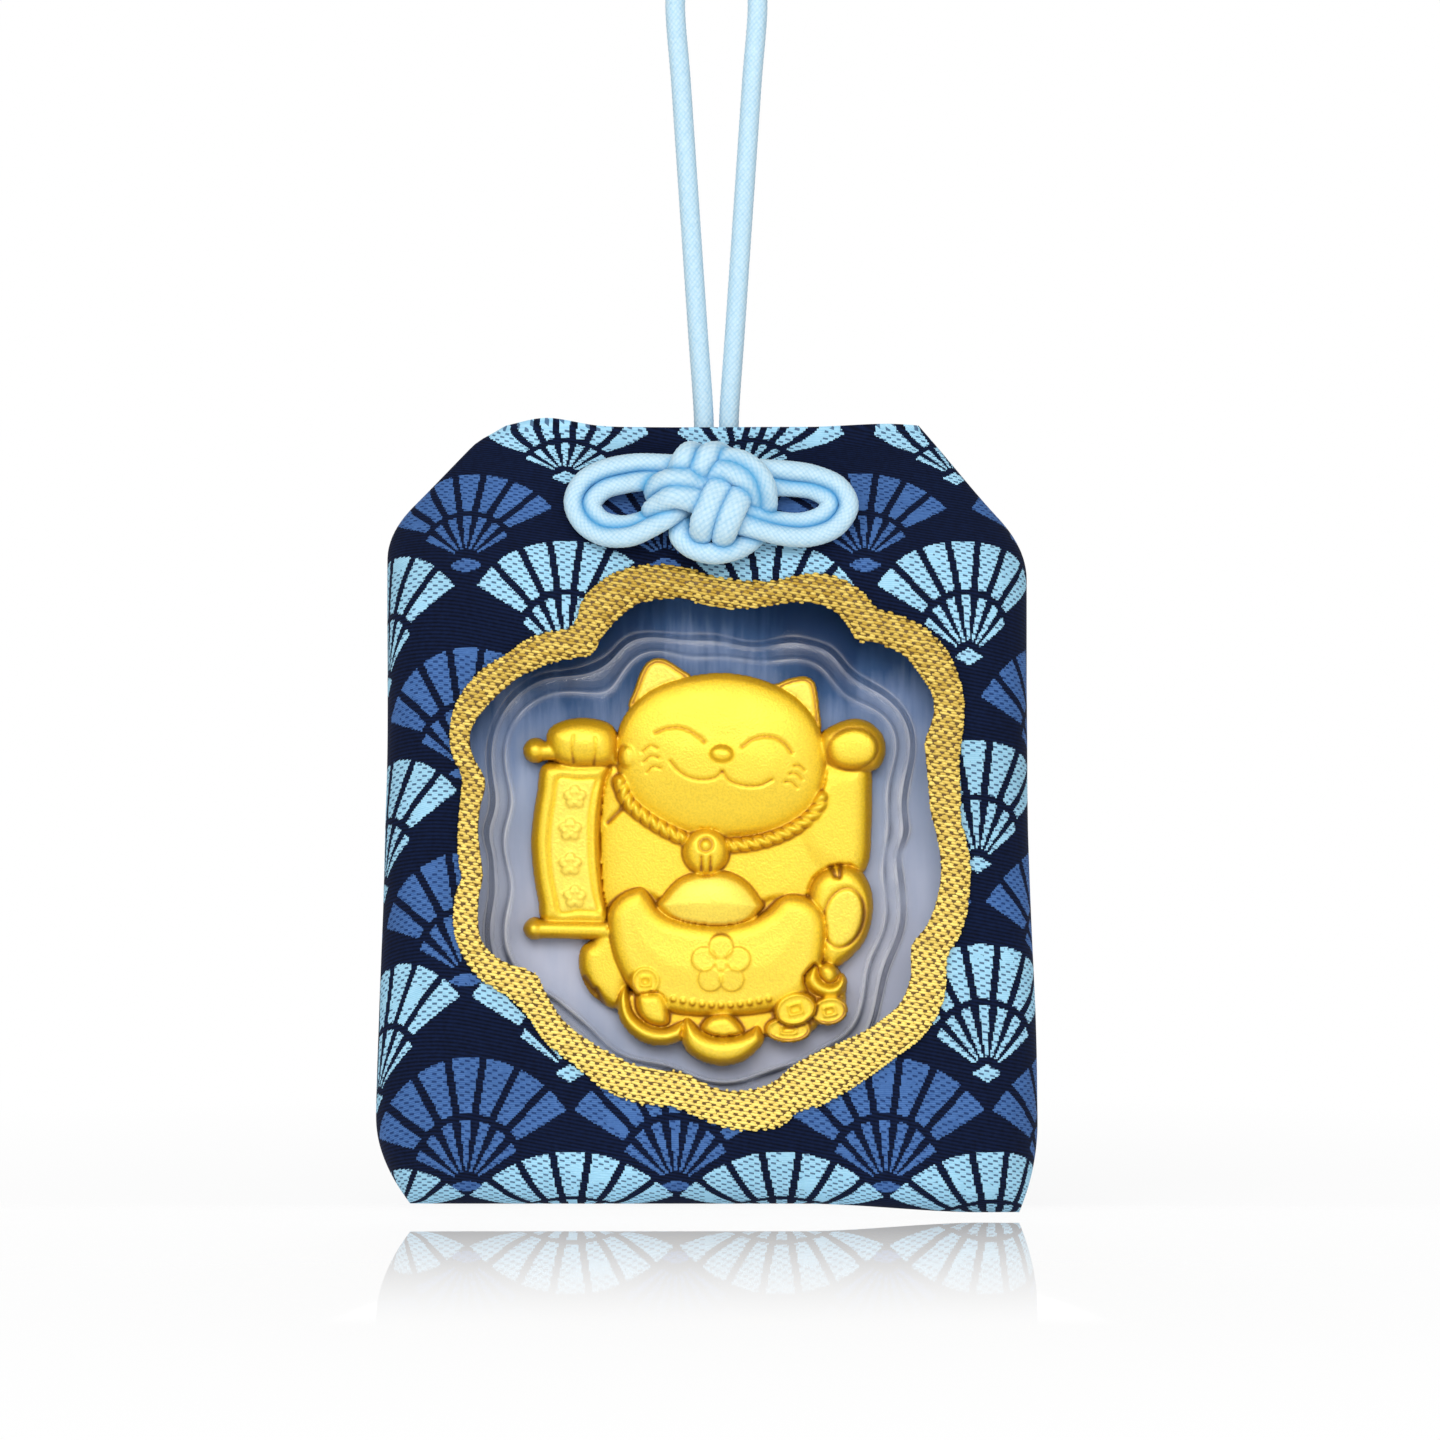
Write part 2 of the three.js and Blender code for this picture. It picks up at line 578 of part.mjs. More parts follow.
function sweep(curve, radius, steps, sides) {
  const shape = new THREE.Shape();
  for (let i = 0; i < sides; i += 1) {
    const angle = (2 * Math.PI * i) / sides;
    shape[i === 0 ? "moveTo" : "lineTo"](radius * Math.cos(angle), radius * Math.sin(angle));
  }
  return new THREE.ExtrudeGeometry(shape, { steps, bevelEnabled: false, extrudePath: curve });
}

function hangingLoop() {
  const foot = SWING_RISE - LOOP_DROP;
  const bight = cordRadius - LOOP_BEND;
  const points = [];
  for (let i = 0; i <= 3; i += 1) {
    const share = i / 4;
    const x = THREE.MathUtils.lerp(STRAND_SPACING / 2, LOOP_BEND, share);
    points.push(new THREE.Vector3(x, 0, THREE.MathUtils.lerp(foot, bight, share)));
  }
  for (let i = 0; i <= 6; i += 1) {
    const angle = Math.PI * (i / 6);
    points.push(new THREE.Vector3(LOOP_BEND * Math.cos(angle), 0, bight + LOOP_BEND * Math.sin(angle)));
  }
  for (let i = 3; i >= 0; i -= 1) points.push(new THREE.Vector3(-points[i].x, 0, points[i].z));
  const pieces = [solid(sweep(new THREE.CatmullRomCurve3(points), cordRadius, 36, CORD_SIDES))];
  for (const end of [-1, 1]) {
    const ball = new THREE.SphereGeometry(cordRadius, 12, 8);
    ball.translate((end * STRAND_SPACING) / 2, 0, foot);
    pieces.push(solid(ball));
  }
  return geometryOf(join(pieces));
}

// The knot lies on the slope of the front below the lip: x to the right, z up the slope, and a layer that
// counts cord diameters from the cloth.
const knotTop = halfDepthAt(KNOT_DROP * (1 - KNOT_SLOPE_SHARE), pouchHeight, 0);
const knotFoot = halfDepthAt(KNOT_DROP * (1 + KNOT_SLOPE_SHARE), pouchHeight, 0);
const knotFrame = new THREE.Object3D();
knotFrame.position.set(0, -halfDepthAt(KNOT_DROP, pouchHeight, 0) - GAP / 2, -KNOT_DROP);
knotFrame.rotation.x = -Math.atan((knotFoot - knotTop) / (2 * KNOT_SLOPE_SHARE * KNOT_DROP));
knotFrame.updateMatrix();

function knotPoint([x, z, layer]) {
  return new THREE.Vector3(x, -(GAP + cordRadius + layer * CORD_LAYER), z);
}

// The crown: four pairs of strands, each pair over the next one and under the one before.
// Every strand runs from its inner end, under a neighbour, to its outer end.
const upLeft = [[-2.9, -0.9, 0.1], [-2.75, 0.15, 0.6], [-2.35, 1.1, 1.7], [-1.88, 2.04, 2], [-1.35, 2.6, 1.5]];
const upRight = [[-1.6, -0.9, 0.1], [-1.2, 0.1, 0.7], [-0.75, 0.95, 1.7], [-0.08, 1.96, 2], [0.7, 2.55, 1.5]];
const rightUpper = [
  [-1.3, 1.5, 0.9], [0.5, 1.75, 1], [1.7, 1.85, 1.7], [2.95, 1.55, 2], [4.25, 0.65, 2], [4.95, -0.5, 1.7],
];
const rightLower = [
  [-1.2, 0.65, 0.9], [0.1, 0.6, 1.1], [1.06, 0.75, 1.7], [2.2, 0.7, 2], [3.3, 0.05, 2], [3.95, -0.9, 1.5],
];
const downLeft = [[1.9, 0.9, 0.9], [1.3, -0.1, 1.5], [0.25, -2.04, 2], [-0.49, -3.4, 1.7], [-0.74, -4, 1]];
const downRight = [[3.5, 0.35, 0.9], [3, -0.9, 1.5], [2.4, -2.7, 2], [2, -3.9, 1.7], [1.8, -4.4, 1]];
const leftUpper = [[0.9, -0.45, 0.9], [-0.25, -0.25, 1.2], [-1.25, 0, 1.7], [-2.6, 0.05, 2], [-3.9, 0, 1.7]];
const leftLower = [
  [0.8, -2, 0.9], [-0.57, -1.75, 1.3], [-1.72, -1.5, 1.8], [-3.1, -1.45, 2], [-4.2, -1.75, 1.6],
];
// The ears, each an outer and an inner loop, and the loop below the crown
const leftEarOuter = [
  [-3.2, -2.8, 1.1], [-4.8, -3.8, 0.9], [-6.6, -4.45, 0.5], [-8.9, -4.25, 0.1], [-10.7, -3, 0],
  [-11.4, -1.2, 0], [-10.6, 0.55, 0], [-8.7, 1.55, 0.2], [-6.2, 1.9, 0.6], [-3.9, 1.75, 0.9],
];
const leftEarInner = [
  [-3.4, 0.2, 0.9], [-5.2, 0.15, 0.8], [-7, 0, 0.3], [-8.7, -0.5, 0], [-9.6, -1.6, 0], [-8.9, -2.8, 0],
  [-7.2, -3.3, 0], [-5.2, -2.95, 0.4], [-3.7, -2.2, 0.7],
];
const rightEarOuter = [
  [2, -2.9, 1], [3.7, -3.7, 1], [6.4, -4.4, 0.5], [8.8, -4.4, 0.1], [11, -3.5, 0], [12.1, -1.7, 0],
  [11.3, 0, 0], [9.2, 0.95, 0.2], [6.9, 1.2, 0.6], [4.7, 1.25, 0.9], [3.3, 1.2, 0.9],
];
const rightEarInner = [
  [2.6, -1.7, 0.9], [3.8, -2.5, 0.9], [6.4, -2.95, 0.4], [8.4, -2.8, 0], [10, -2, 0], [10.1, -1.1, 0],
  [9, -0.4, 0], [7.2, -0.3, 0.3], [5.5, -0.25, 0.7], [4.4, 0.15, 0.8],
];
const lowerLoop = [
  [5.1, -1.6, 1], [4.9, -2.6, 0], [4.5, -3.7, 0], [3.6, -4.8, 0.2], [2.3, -5.6, 0.5], [0.55, -5.95, 0.6],
  [-1.3, -5.4, 0.5], [-2.25, -4.4, 0.4], [-2.3, -3.3, 0.2], [-3.1, -2.5, -0.1], [-4.4, -2.6, 0],
  [-4.75, -2.3, 0.8],
];
// Hidden runs under the crown, from the foot of one pair to the outer end of another
const leftLink = [[-0.9, -4.2, 0.2], [-2, -3.2, 0], [-3.3, -1.9, 0], [-4.3, -1, 0.3], [-4.5, -0.35, 1]];
const rightLink = [[1.9, -4.6, 0.2], [2.6, -4.2, 0], [3.4, -3.4, 0], [4.1, -2.5, 0.2], [4.2, -1.8, 0.7]];
const slitRise = KNOT_DROP - SLIT_DROP;
const throughSlit = (side) => {
  const x = LOOP_OFFSET + (side * STRAND_SPACING) / 2;
  return [[x, slitRise + 0.4, 0.5], [x, slitRise, -0.5]];
};
const knotRoute = [
  ...throughSlit(1).reverse(), ...upRight.toReversed(), ...leftEarOuter, ...rightUpper, ...lowerLoop,
  ...leftLower.toReversed(), ...rightEarOuter, ...downLeft, ...leftLink, ...leftUpper.toReversed(),
  ...rightEarInner, ...downRight, ...rightLink, ...rightLower.toReversed(), ...leftEarInner, ...upLeft,
  ...throughSlit(-1),
];

// One cord all the way, drawn in short stretches that share their end rings
function frontKnot() {
  const curve = new THREE.CatmullRomCurve3(knotRoute.map(knotPoint), false, "centripetal");
  const steps = Math.round(curve.getLength() / KNOT_STEP);
  const frames = curve.computeFrenetFrames(steps);
  const rings = [];
  for (let i = 0; i <= steps; i += 1) {
    const middle = curve.getPointAt(i / steps);
    const ring = [];
    for (let side = 0; side < CORD_SIDES; side += 1) {
      const angle = (2 * Math.PI * side) / CORD_SIDES;
      const spoke = frames.normals[i].clone().multiplyScalar(cordRadius * Math.cos(angle));
      ring.push(spoke.addScaledVector(frames.binormals[i], cordRadius * Math.sin(angle)).add(middle));
    }
    rings.push(ring);
  }
  const stretches = [];
  for (let i = 0; i < steps; i += 3) stretches.push(solid(loft(rings.slice(i, i + 4))));
  // The skin that encloses the most is the outside; the pockets where strands press together stay solid
  const skins = join(stretches).decompose();
  return geometryOf(skins.reduce((most, skin) => (skin.volume() > most.volume() ? skin : most)));
}

function cordTail(side) {
  const x = LOOP_OFFSET + (side * STRAND_SPACING) / 2;
  const cloth = -halfDepthAt(SLIT_DROP, pouchHeight, 0);
  const route = [[cloth, -SLIT_DROP], [cloth / 2, -SLIT_DROP], [0, -SLIT_DROP / 2], [0, 0]];
  const points = route.map(([y, z]) => new THREE.Vector3(x, y, z));
  const curve = new THREE.CatmullRomCurve3(points, false, "centripetal");
  return sweep(curve, cordRadius, 8, CORD_SIDES);
}

// Assembly

const brocade = { color: 0x16244f, roughness: 0.85 };
const satin = { color: 0x24356a, roughness: 0.6 };
const goldThread = { color: 0xc9a548, roughness: 0.5, metalness: 0.4 };
const clearPlastic = { color: 0xe8eef5, roughness: 0.08, transparent: true, opacity: 0.3 };
const gold = { color: 0xf5d03a, roughness: 0.3, metalness: 1 };
const paper = { color: 0x35466a, roughness: 0.8 };
const greyBoard = { color: 0x9a9790, roughness: 0.9 };
const paleCord = { color: 0xbfe0f4, roughness: 0.7 };

function mesh(name, geometry, look) {
  const part = new THREE.Mesh(geometry, new THREE.MeshStandardMaterial(look));
  part.name = name;
  return part;
}

const blisterPack = new THREE.Group();
blisterPack.position.z = -WINDOW_DROP;
blisterPack.add(
  mesh("blister_cover", blisterCover(), clearPlastic),
  mesh("lucky_cat", luckyCat(), gold),
  mesh("backing_card", packPlate(cardFront, CARD, GAP), paper),
  mesh("blister_back", packPlate(sheetFront, BACK_SHEET, GAP), clearPlastic),
  mesh("stiffener_board", packPlate(boardFront, BOARD, 0), greyBoard),
);

const knot = mesh("front_knot", frontKnot(), paleCord);
knotFrame.add(knot);

const pouch = new THREE.Group();
pouch.position.set(-LOOP_OFFSET, 0, -LOOP_DROP);
pouch.add(
  mesh("front_panel", frontPanel(), brocade),
  mesh("back_panel", backPanel(), brocade),
  mesh("front_lining", frontLining(), satin),
  mesh("back_lining", backLining(), satin),
  mesh("window_border", windowBorder(), goldThread),
  blisterPack,
  knotFrame,
  mesh("cord_tail_left", cordTail(-1), paleCord),
  mesh("cord_tail_right", cordTail(1), paleCord),
);

const amulet = new THREE.Group();
amulet.add(mesh("hanging_loop", hangingLoop(), paleCord), pouch);

export default amulet;
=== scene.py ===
# A brocade amulet pouch on a knotted cord, with a gold cat in a clear pack behind a lobed window.
# Shapes are drawn in millimetres, +Z up and the front towards -Y, and set down in metres.
import math
from contextlib import contextmanager

import bmesh
import bpy
import numpy as np
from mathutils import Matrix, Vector


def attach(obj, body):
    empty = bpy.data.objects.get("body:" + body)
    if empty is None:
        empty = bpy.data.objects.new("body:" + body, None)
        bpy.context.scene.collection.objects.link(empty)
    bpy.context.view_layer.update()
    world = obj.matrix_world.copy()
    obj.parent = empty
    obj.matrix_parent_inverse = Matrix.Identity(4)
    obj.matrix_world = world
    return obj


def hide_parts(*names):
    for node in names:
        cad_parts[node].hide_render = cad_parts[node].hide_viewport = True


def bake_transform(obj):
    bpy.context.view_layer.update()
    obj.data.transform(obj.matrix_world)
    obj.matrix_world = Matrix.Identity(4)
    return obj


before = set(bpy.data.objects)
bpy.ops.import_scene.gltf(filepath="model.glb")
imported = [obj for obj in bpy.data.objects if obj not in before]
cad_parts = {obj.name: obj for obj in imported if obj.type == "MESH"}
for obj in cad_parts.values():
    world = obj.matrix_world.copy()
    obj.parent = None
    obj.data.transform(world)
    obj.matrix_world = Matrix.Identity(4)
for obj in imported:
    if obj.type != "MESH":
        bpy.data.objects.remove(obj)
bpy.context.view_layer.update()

MM = 0.001
FRONT = -1
BACK = 1
rng = np.random.default_rng(7)

# Pouch, the same form as the part's solids
GAP = 0.3
POUCH_X = -0.8
LIP_Z = -40
FABRIC = 0.8
LINING = 0.4
MOUTH_DEPTH = 6
MOUTH_EASE = 14
POUCH_DEPTH = 9.7
SHOULDER_ROUND = 2.4
SIDE_MARGIN = 8
BOTTOM_MARGIN = 10.9
SWELL = 0.95
SIDE_ROUND = 5
BOTTOM_ROUND = 6
CORNER_HEIGHT = 7.6
LEFT = {"mouth": 18.7, "shoulder_drop": 8.7, "corner_inset": 2.9, "lip_inset": 1.3}
RIGHT = {"mouth": 18.3, "shoulder_drop": 10.2, "corner_inset": 1.6, "lip_inset": 0}
LIP_ROUND = 1.6

# Window: the solid's lobes (x, z, radius), and the drawn edges of the cut and of the border, about its middle
WINDOW_DROP = 35.6
WINDOW_HEM = 0.6
WINDOW_LOBES = [
    [0, 0, 19.2], [7.6, 14.8, 6], [1.5, 14.4, 5.9], [-4.3, 14.9, 6.2], [13.6, 10.9, 5.6], [-13.9, 9, 6.4],
    [-14.2, -3.9, 5.7], [-7.2, -12.6, 5.7], [2.8, -14.2, 6.7], [12.2, -10, 5.6], [13.6, -1.4, 6.2],
]
WINDOW_EDGE = [
    (-2.7, 21), (-0.3, 20.5), (2.1, 20.1), (4.5, 20.2), (6.9, 20.6), (9.3, 20.5), (10.9, 19.8), (12, 18.6),
    (12.8, 17.4), (14.6, 17.1), (16.6, 16.2), (18.1, 14.5), (19.1, 12.9), (19.3, 11.3), (18.9, 9.9),
    (18.5, 8.7), (18.6, 7.2), (18.8, 5.2), (19, 2.9), (19.5, 0.9), (19.8, -0.7), (19.9, -2.6), (19.5, -4.9),
    (18.7, -6.9), (17.5, -8.4), (17.3, -9.6), (17.3, -11.3), (16.5, -13.4), (15, -14.8), (13.2, -16),
    (11.4, -16.8), (9.5, -17.6), (7.5, -18.7), (5.3, -20.4), (2.8, -21), (0.8, -20.8), (-0.5, -20.2),
    (-2.3, -19.4), (-5.5, -19), (-8.8, -17.5), (-11, -16.1), (-12.3, -14.9), (-13.2, -13.6), (-13.9, -12.3),
    (-14.6, -11), (-16.5, -10.3), (-18.1, -9.5), (-19.2, -8.2), (-19.5, -6.4), (-19.4, -4.4), (-19.1, -2.8),
    (-19.3, -0.8), (-19.5, 1.2), (-19.3, 3.2), (-18.9, 4.8), (-19, 5.8), (-19.8, 7.2), (-20.2, 8.6),
    (-20, 10), (-18.9, 11.6), (-17.3, 13.2), (-15.7, 14.4), (-13.7, 15.3), (-11.7, 15.8), (-9.8, 16.2),
    (-8.8, 17.8), (-7.3, 19.4), (-5.5, 20.6),
]
BORDER_EDGE = [
    (-4.3, 24), (-1.5, 23.6), (0.9, 22.9), (3.3, 22.6), (5.7, 22.6), (8.1, 23.1), (10.1, 23.2), (12.1, 22.5),
    (13.6, 21.4), (14.7, 20.2), (16.6, 19.6), (18.6, 18.6), (20.3, 17), (21.4, 15), (22, 12.9), (22.1, 11),
    (21.9, 9.2), (21.7, 7.6), (21.7, 6), (21.8, 4.1), (21.8, 2.1), (22.3, 0.2), (22.6, -1.6), (22.6, -3.6),
    (22.3, -6.1), (21.6, -8.1), (20.7, -9.6), (20.6, -11.2), (20.4, -13.1), (19.6, -15), (18.1, -16.9),
    (16.4, -18.1), (14.7, -19.4), (12.2, -21.1), (10.1, -22.3), (7.9, -22.9), (6.8, -23.9), (5.5, -24.4),
    (2.8, -24.5), (0.9, -24.1), (-0.5, -23.5), (-3, -22.5), (-5.9, -22.2), (-9.1, -20.8), (-11.3, -19),
    (-13.8, -17), (-15.3, -14.9), (-16.9, -13.2), (-18.3, -12.3), (-19.9, -11.1), (-21, -9.5), (-21.6, -7.9),
    (-21.8, -6.1), (-21.6, -4.2), (-21.1, -3), (-21.3, -1.6), (-21.4, 0.2), (-21.3, 2.4), (-21.1, 4.4),
    (-21.1, 6), (-21.8, 7.4), (-22.1, 9.2), (-21.9, 11), (-21.3, 12.6), (-20.3, 14), (-19.1, 15.2),
    (-17.1, 16.4), (-15.9, 17.3), (-14.2, 18.1), (-12, 18.5), (-11.2, 19.4), (-10.7, 21), (-9.1, 22.6),
    (-7.1, 23.6),
]
BORDER_WIDTH = 2.7
BORDER_HEIGHT = 0.62
BORDER_INSET = 0.1

# Cord
CORD_DIAMETER = 1.75
CORD_RADIUS = CORD_DIAMETER / 2
STRAND_SPACING = 2.2
LOOP_BEND = 3.55
SLIT_DROP = 3.6
KNOT_DROP = 5.3
CORD_LAYER = 1.5
CORD_TUCK = 1.0  # length of each strand inside the mouth
SWING_RISE = 1.2

# The pack inside, as places along Y
CAT_BACK = 0.35
BLISTER_TOP = -3.45
FLANGE_FRONT = -0.05
BLISTER_WALL = 0.4

window_x = POUCH_X
window_z = LIP_Z - WINDOW_DROP


# Small helpers


def smoothstep(x, low, high):
    share = np.clip((x - low) / (high - low), 0, 1)
    return share * share * (3 - 2 * share)


def lerp(a, b, share):
    return a + (b - a) * share


def deselect():
    bpy.ops.object.select_all(action="DESELECT")


def make_active(piece):
    deselect()
    piece.select_set(True)
    bpy.context.view_layer.objects.active = piece


def fine_grid(name, columns, rows):
    """A flat grid to be shaped, with the column and the row of each vertex."""
    deselect()
    bpy.ops.mesh.primitive_grid_add(x_subdivisions=columns, y_subdivisions=rows, size=2)
    piece = bpy.context.object
    piece.name = name
    piece.data.name = name
    spots = np.empty(3 * len(piece.data.vertices))
    piece.data.vertices.foreach_get("co", spots)
    share = (spots.reshape(-1, 3) + 1) / 2
    return piece, np.rint(share[:, 0] * columns).astype(int), np.rint(share[:, 1] * rows).astype(int)


def place(piece, points):
    piece.data.vertices.foreach_set("co", (np.asarray(points) * MM).ravel())
    piece.data.update()


def set_uv(piece, u, v):
    """Cloth or cord coordinates in millimetres, as the piece's own map."""
    corners = np.empty(len(piece.data.loops), int)
    piece.data.loops.foreach_get("vertex_index", corners)
    layer = piece.data.uv_layers[0]
    layer.name = "cloth_mm"
    layer.data.foreach_set("uv", np.stack([u[corners], v[corners]], 1).ravel())


def paint(piece, name, values):
    layer = piece.data.attributes.new(name, "FLOAT", "POINT")
    layer.data.foreach_set("value", np.asarray(values, np.float32))


@contextmanager
def editing(piece):
    """Edit mode with the whole piece selected."""
    make_active(piece)
    bpy.ops.object.mode_set(mode="EDIT")
    bpy.ops.mesh.select_all(action="SELECT")
    yield
    bpy.ops.object.mode_set(mode="OBJECT")


def face_outward():
    bpy.ops.mesh.select_all(action="SELECT")
    bpy.ops.mesh.normals_make_consistent(inside=False)


def weld(piece, fill=False, outward=True):
    with editing(piece):
        bpy.ops.mesh.remove_doubles(threshold=1e-7)
        if fill:
            bpy.ops.mesh.fill_holes(sides=0)
        if outward:
            face_outward()


def smooth(piece, degrees=None):
    make_active(piece)
    if degrees is None:
        bpy.ops.object.shade_smooth()
    else:
        bpy.ops.object.shade_smooth_by_angle(angle=math.radians(degrees))


def apply(piece, kind, **settings):
    make_active(piece)
    modifier = piece.modifiers.new(kind.lower(), kind)
    for key, value in settings.items():
        setattr(modifier, key, value)
    bpy.ops.object.modifier_apply(modifier=modifier.name)


def finish_with(piece, material):
    piece.data.materials.clear()
    piece.data.materials.append(material)


def belong(piece, node):
    """A piece that moves with the pouch, in the place of one of the part's solids."""
    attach(piece, "pouch")
    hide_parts(node)


# Finishes


class Finish:
    """A surface finish, built up node by node."""

    def __init__(self, name):
        self.material = bpy.data.materials.new(name)
        self.material.use_nodes = True
        self.tree = self.material.node_tree
        self.surface = self.tree.nodes["Principled BSDF"]
        self.output = self.tree.nodes["Material Output"]

    def node(self, kind, **settings):
        made = self.tree.nodes.new(kind)
        for key, value in settings.items():
            setattr(made, key, value)
        return made

    def plug(self, source, socket):
        if isinstance(source, bpy.types.NodeSocket):
            self.tree.links.new(source, socket)
        else:
            socket.default_value = source

    def math(self, operation, *sources, clamp=False):
        made = self.node("ShaderNodeMath", operation=operation, use_clamp=clamp)
        for source, socket in zip(sources, made.inputs):
            self.plug(source, socket)
        return made.outputs[0]

    def chain(self, operation, sources):
        whole = sources[0]
        for source in sources[1:]:
            whole = self.math(operation, whole, source)
        return whole

    def both(self, *masks):
        return self.chain("MULTIPLY", masks)

    def either(self, *masks):
        return self.chain("MAXIMUM", masks)

    def weigh(self, *shares):
        """The sum of sources, each times its weight."""
        return self.chain("ADD", [self.math("MULTIPLY", source, weight) for source, weight in shares])

    def less(self, value, limit):
        return self.math("LESS_THAN", value, limit)

    def more(self, value, limit):
        return self.math("GREATER_THAN", value, limit)

    def length(self, first, second):
        return self.math("SQRT", self.math("ADD", self.math("MULTIPLY", first, first),
                                           self.math("MULTIPLY", second, second)))

    def off_line(self, value, pitch):
        """Distance from the nearest of evenly spaced lines."""
        return self.math("ABSOLUTE", self.math("WRAP", value, pitch / 2, -pitch / 2))

    def mix(self, share, first, second):
        made = self.node("ShaderNodeMix", data_type="RGBA")
        for source, socket in zip((share, first, second), (made.inputs[0], made.inputs[6], made.inputs[7])):
            self.plug(source, socket)
        return made.outputs[2]

    def scale(self, colour, share):
        made = self.node("ShaderNodeVectorMath", operation="SCALE")
        self.plug(colour, made.inputs[0])
        self.plug(share, made.inputs["Scale"])
        return made.outputs[0]

    def blend(self, share, first, second):
        """A surface that goes from one shader to another."""
        made = self.node("ShaderNodeMixShader")
        for source, socket in zip((share, first.outputs[0], second.outputs[0]), made.inputs):
            self.plug(source, socket)
        return made

    def show(self, shader):
        self.plug(shader.outputs[0], self.output.inputs["Surface"])
        return self.material

    def split(self, point):
        made = self.node("ShaderNodeSeparateXYZ")
        self.plug(point, made.inputs[0])
        return made.outputs

    def map_mm(self):
        across, drop, _ = self.split(self.node("ShaderNodeUVMap", uv_map="cloth_mm").outputs[0])
        return across, drop

    def object_point(self):
        return self.node("ShaderNodeTexCoord").outputs["Object"]

    def attribute(self, name):
        return self.node("ShaderNodeAttribute", attribute_name=name).outputs["Fac"]

    def noise(self, point, scale, detail=2.0, roughness=0.5):
        made = self.node("ShaderNodeTexNoise")
        self.plug(point, made.inputs["Vector"])
        made.inputs["Scale"].default_value = scale
        made.inputs["Detail"].default_value = detail
        made.inputs["Roughness"].default_value = roughness
        return made.outputs["Fac"]

    def stretch(self, point, scale):
        made = self.node("ShaderNodeMapping")
        self.plug(point, made.inputs["Vector"])
        made.inputs["Scale"].default_value = scale
        return made.outputs[0]

    def ramp(self, share, *stops):
        made = self.node("ShaderNodeValToRGB")
        self.plug(share, made.inputs[0])
        points = made.color_ramp.elements
        while len(points) < len(stops):
            points.new(1)
        for point, (position, colour) in zip(points, stops):
            point.position = position
            point.color = (*colour, 1)
        return made.outputs[0]

    def range(self, value, low, high, to_low, to_high):
        made = self.node("ShaderNodeMapRange")
        for source, socket in zip((value, low, high, to_low, to_high), made.inputs):
            self.plug(source, socket)
        return made.outputs[0]

    def bump(self, height, depth_mm, strength=1.0):
        made = self.node("ShaderNodeBump")
        made.inputs["Strength"].default_value = strength
        made.inputs["Distance"].default_value = depth_mm * MM
        self.plug(height, made.inputs["Height"])
        self.plug(made.outputs[0], self.surface.inputs["Normal"])
        return made.outputs[0]

    def set(self, **values):
        for name, value in values.items():
            self.plug(value, self.surface.inputs[name.replace("_", " ")])


def srgb(red, green, blue):
    """A colour given in 8-bit display values."""
    channels = [c / 255 for c in (red, green, blue)]
    return tuple(c / 12.92 if c <= 0.04045 else ((c + 0.055) / 1.055) ** 2.4 for c in channels)


def rgba(red, green, blue):
    return (*srgb(red, green, blue), 1)


# Fans of the cloth, in millimetres about each hub. Their radii grow a little from the top of the pouch down.
FAN_PITCH = 17.36
FAN_ROW = 17.75
FAN_COLUMN = -20.64
MID_HUB = 10.35
LIGHT_HUB = 18.45
CELL_FOOT = 2.6
RIM_RADIUS, RIM_GROWTH = 8.84, 0.018
RING_RADIUS, RING_GROWTH = 4.4, 0.012
RING_GAP = 0.58
BLADE_GAP = 0.31
RIB_START = 1.3
RIB_DROP = 1.2
RIB_SHARE = 0.27
MIDDLE_BLADE = math.radians(8.8)
BLADE = math.radians(17.1)
RIB = math.radians(16.4)
FAN_SPREAD = math.radians(57.5)
# Each kind of fan's rivet: half its width, half its height and its drop below the hub
MID_RIVET = (1.42, 0.57, 1.5)
LIGHT_RIVET = (1.22, 0.78, 1.25)

# Threads of the cloth
THREAD = 0.15
PICK = 0.17
TIE_ROW = 0.325
TIE_SLOPE = -0.2
TIE_PITCH = 0.92
TIE_LENGTH = 0.44


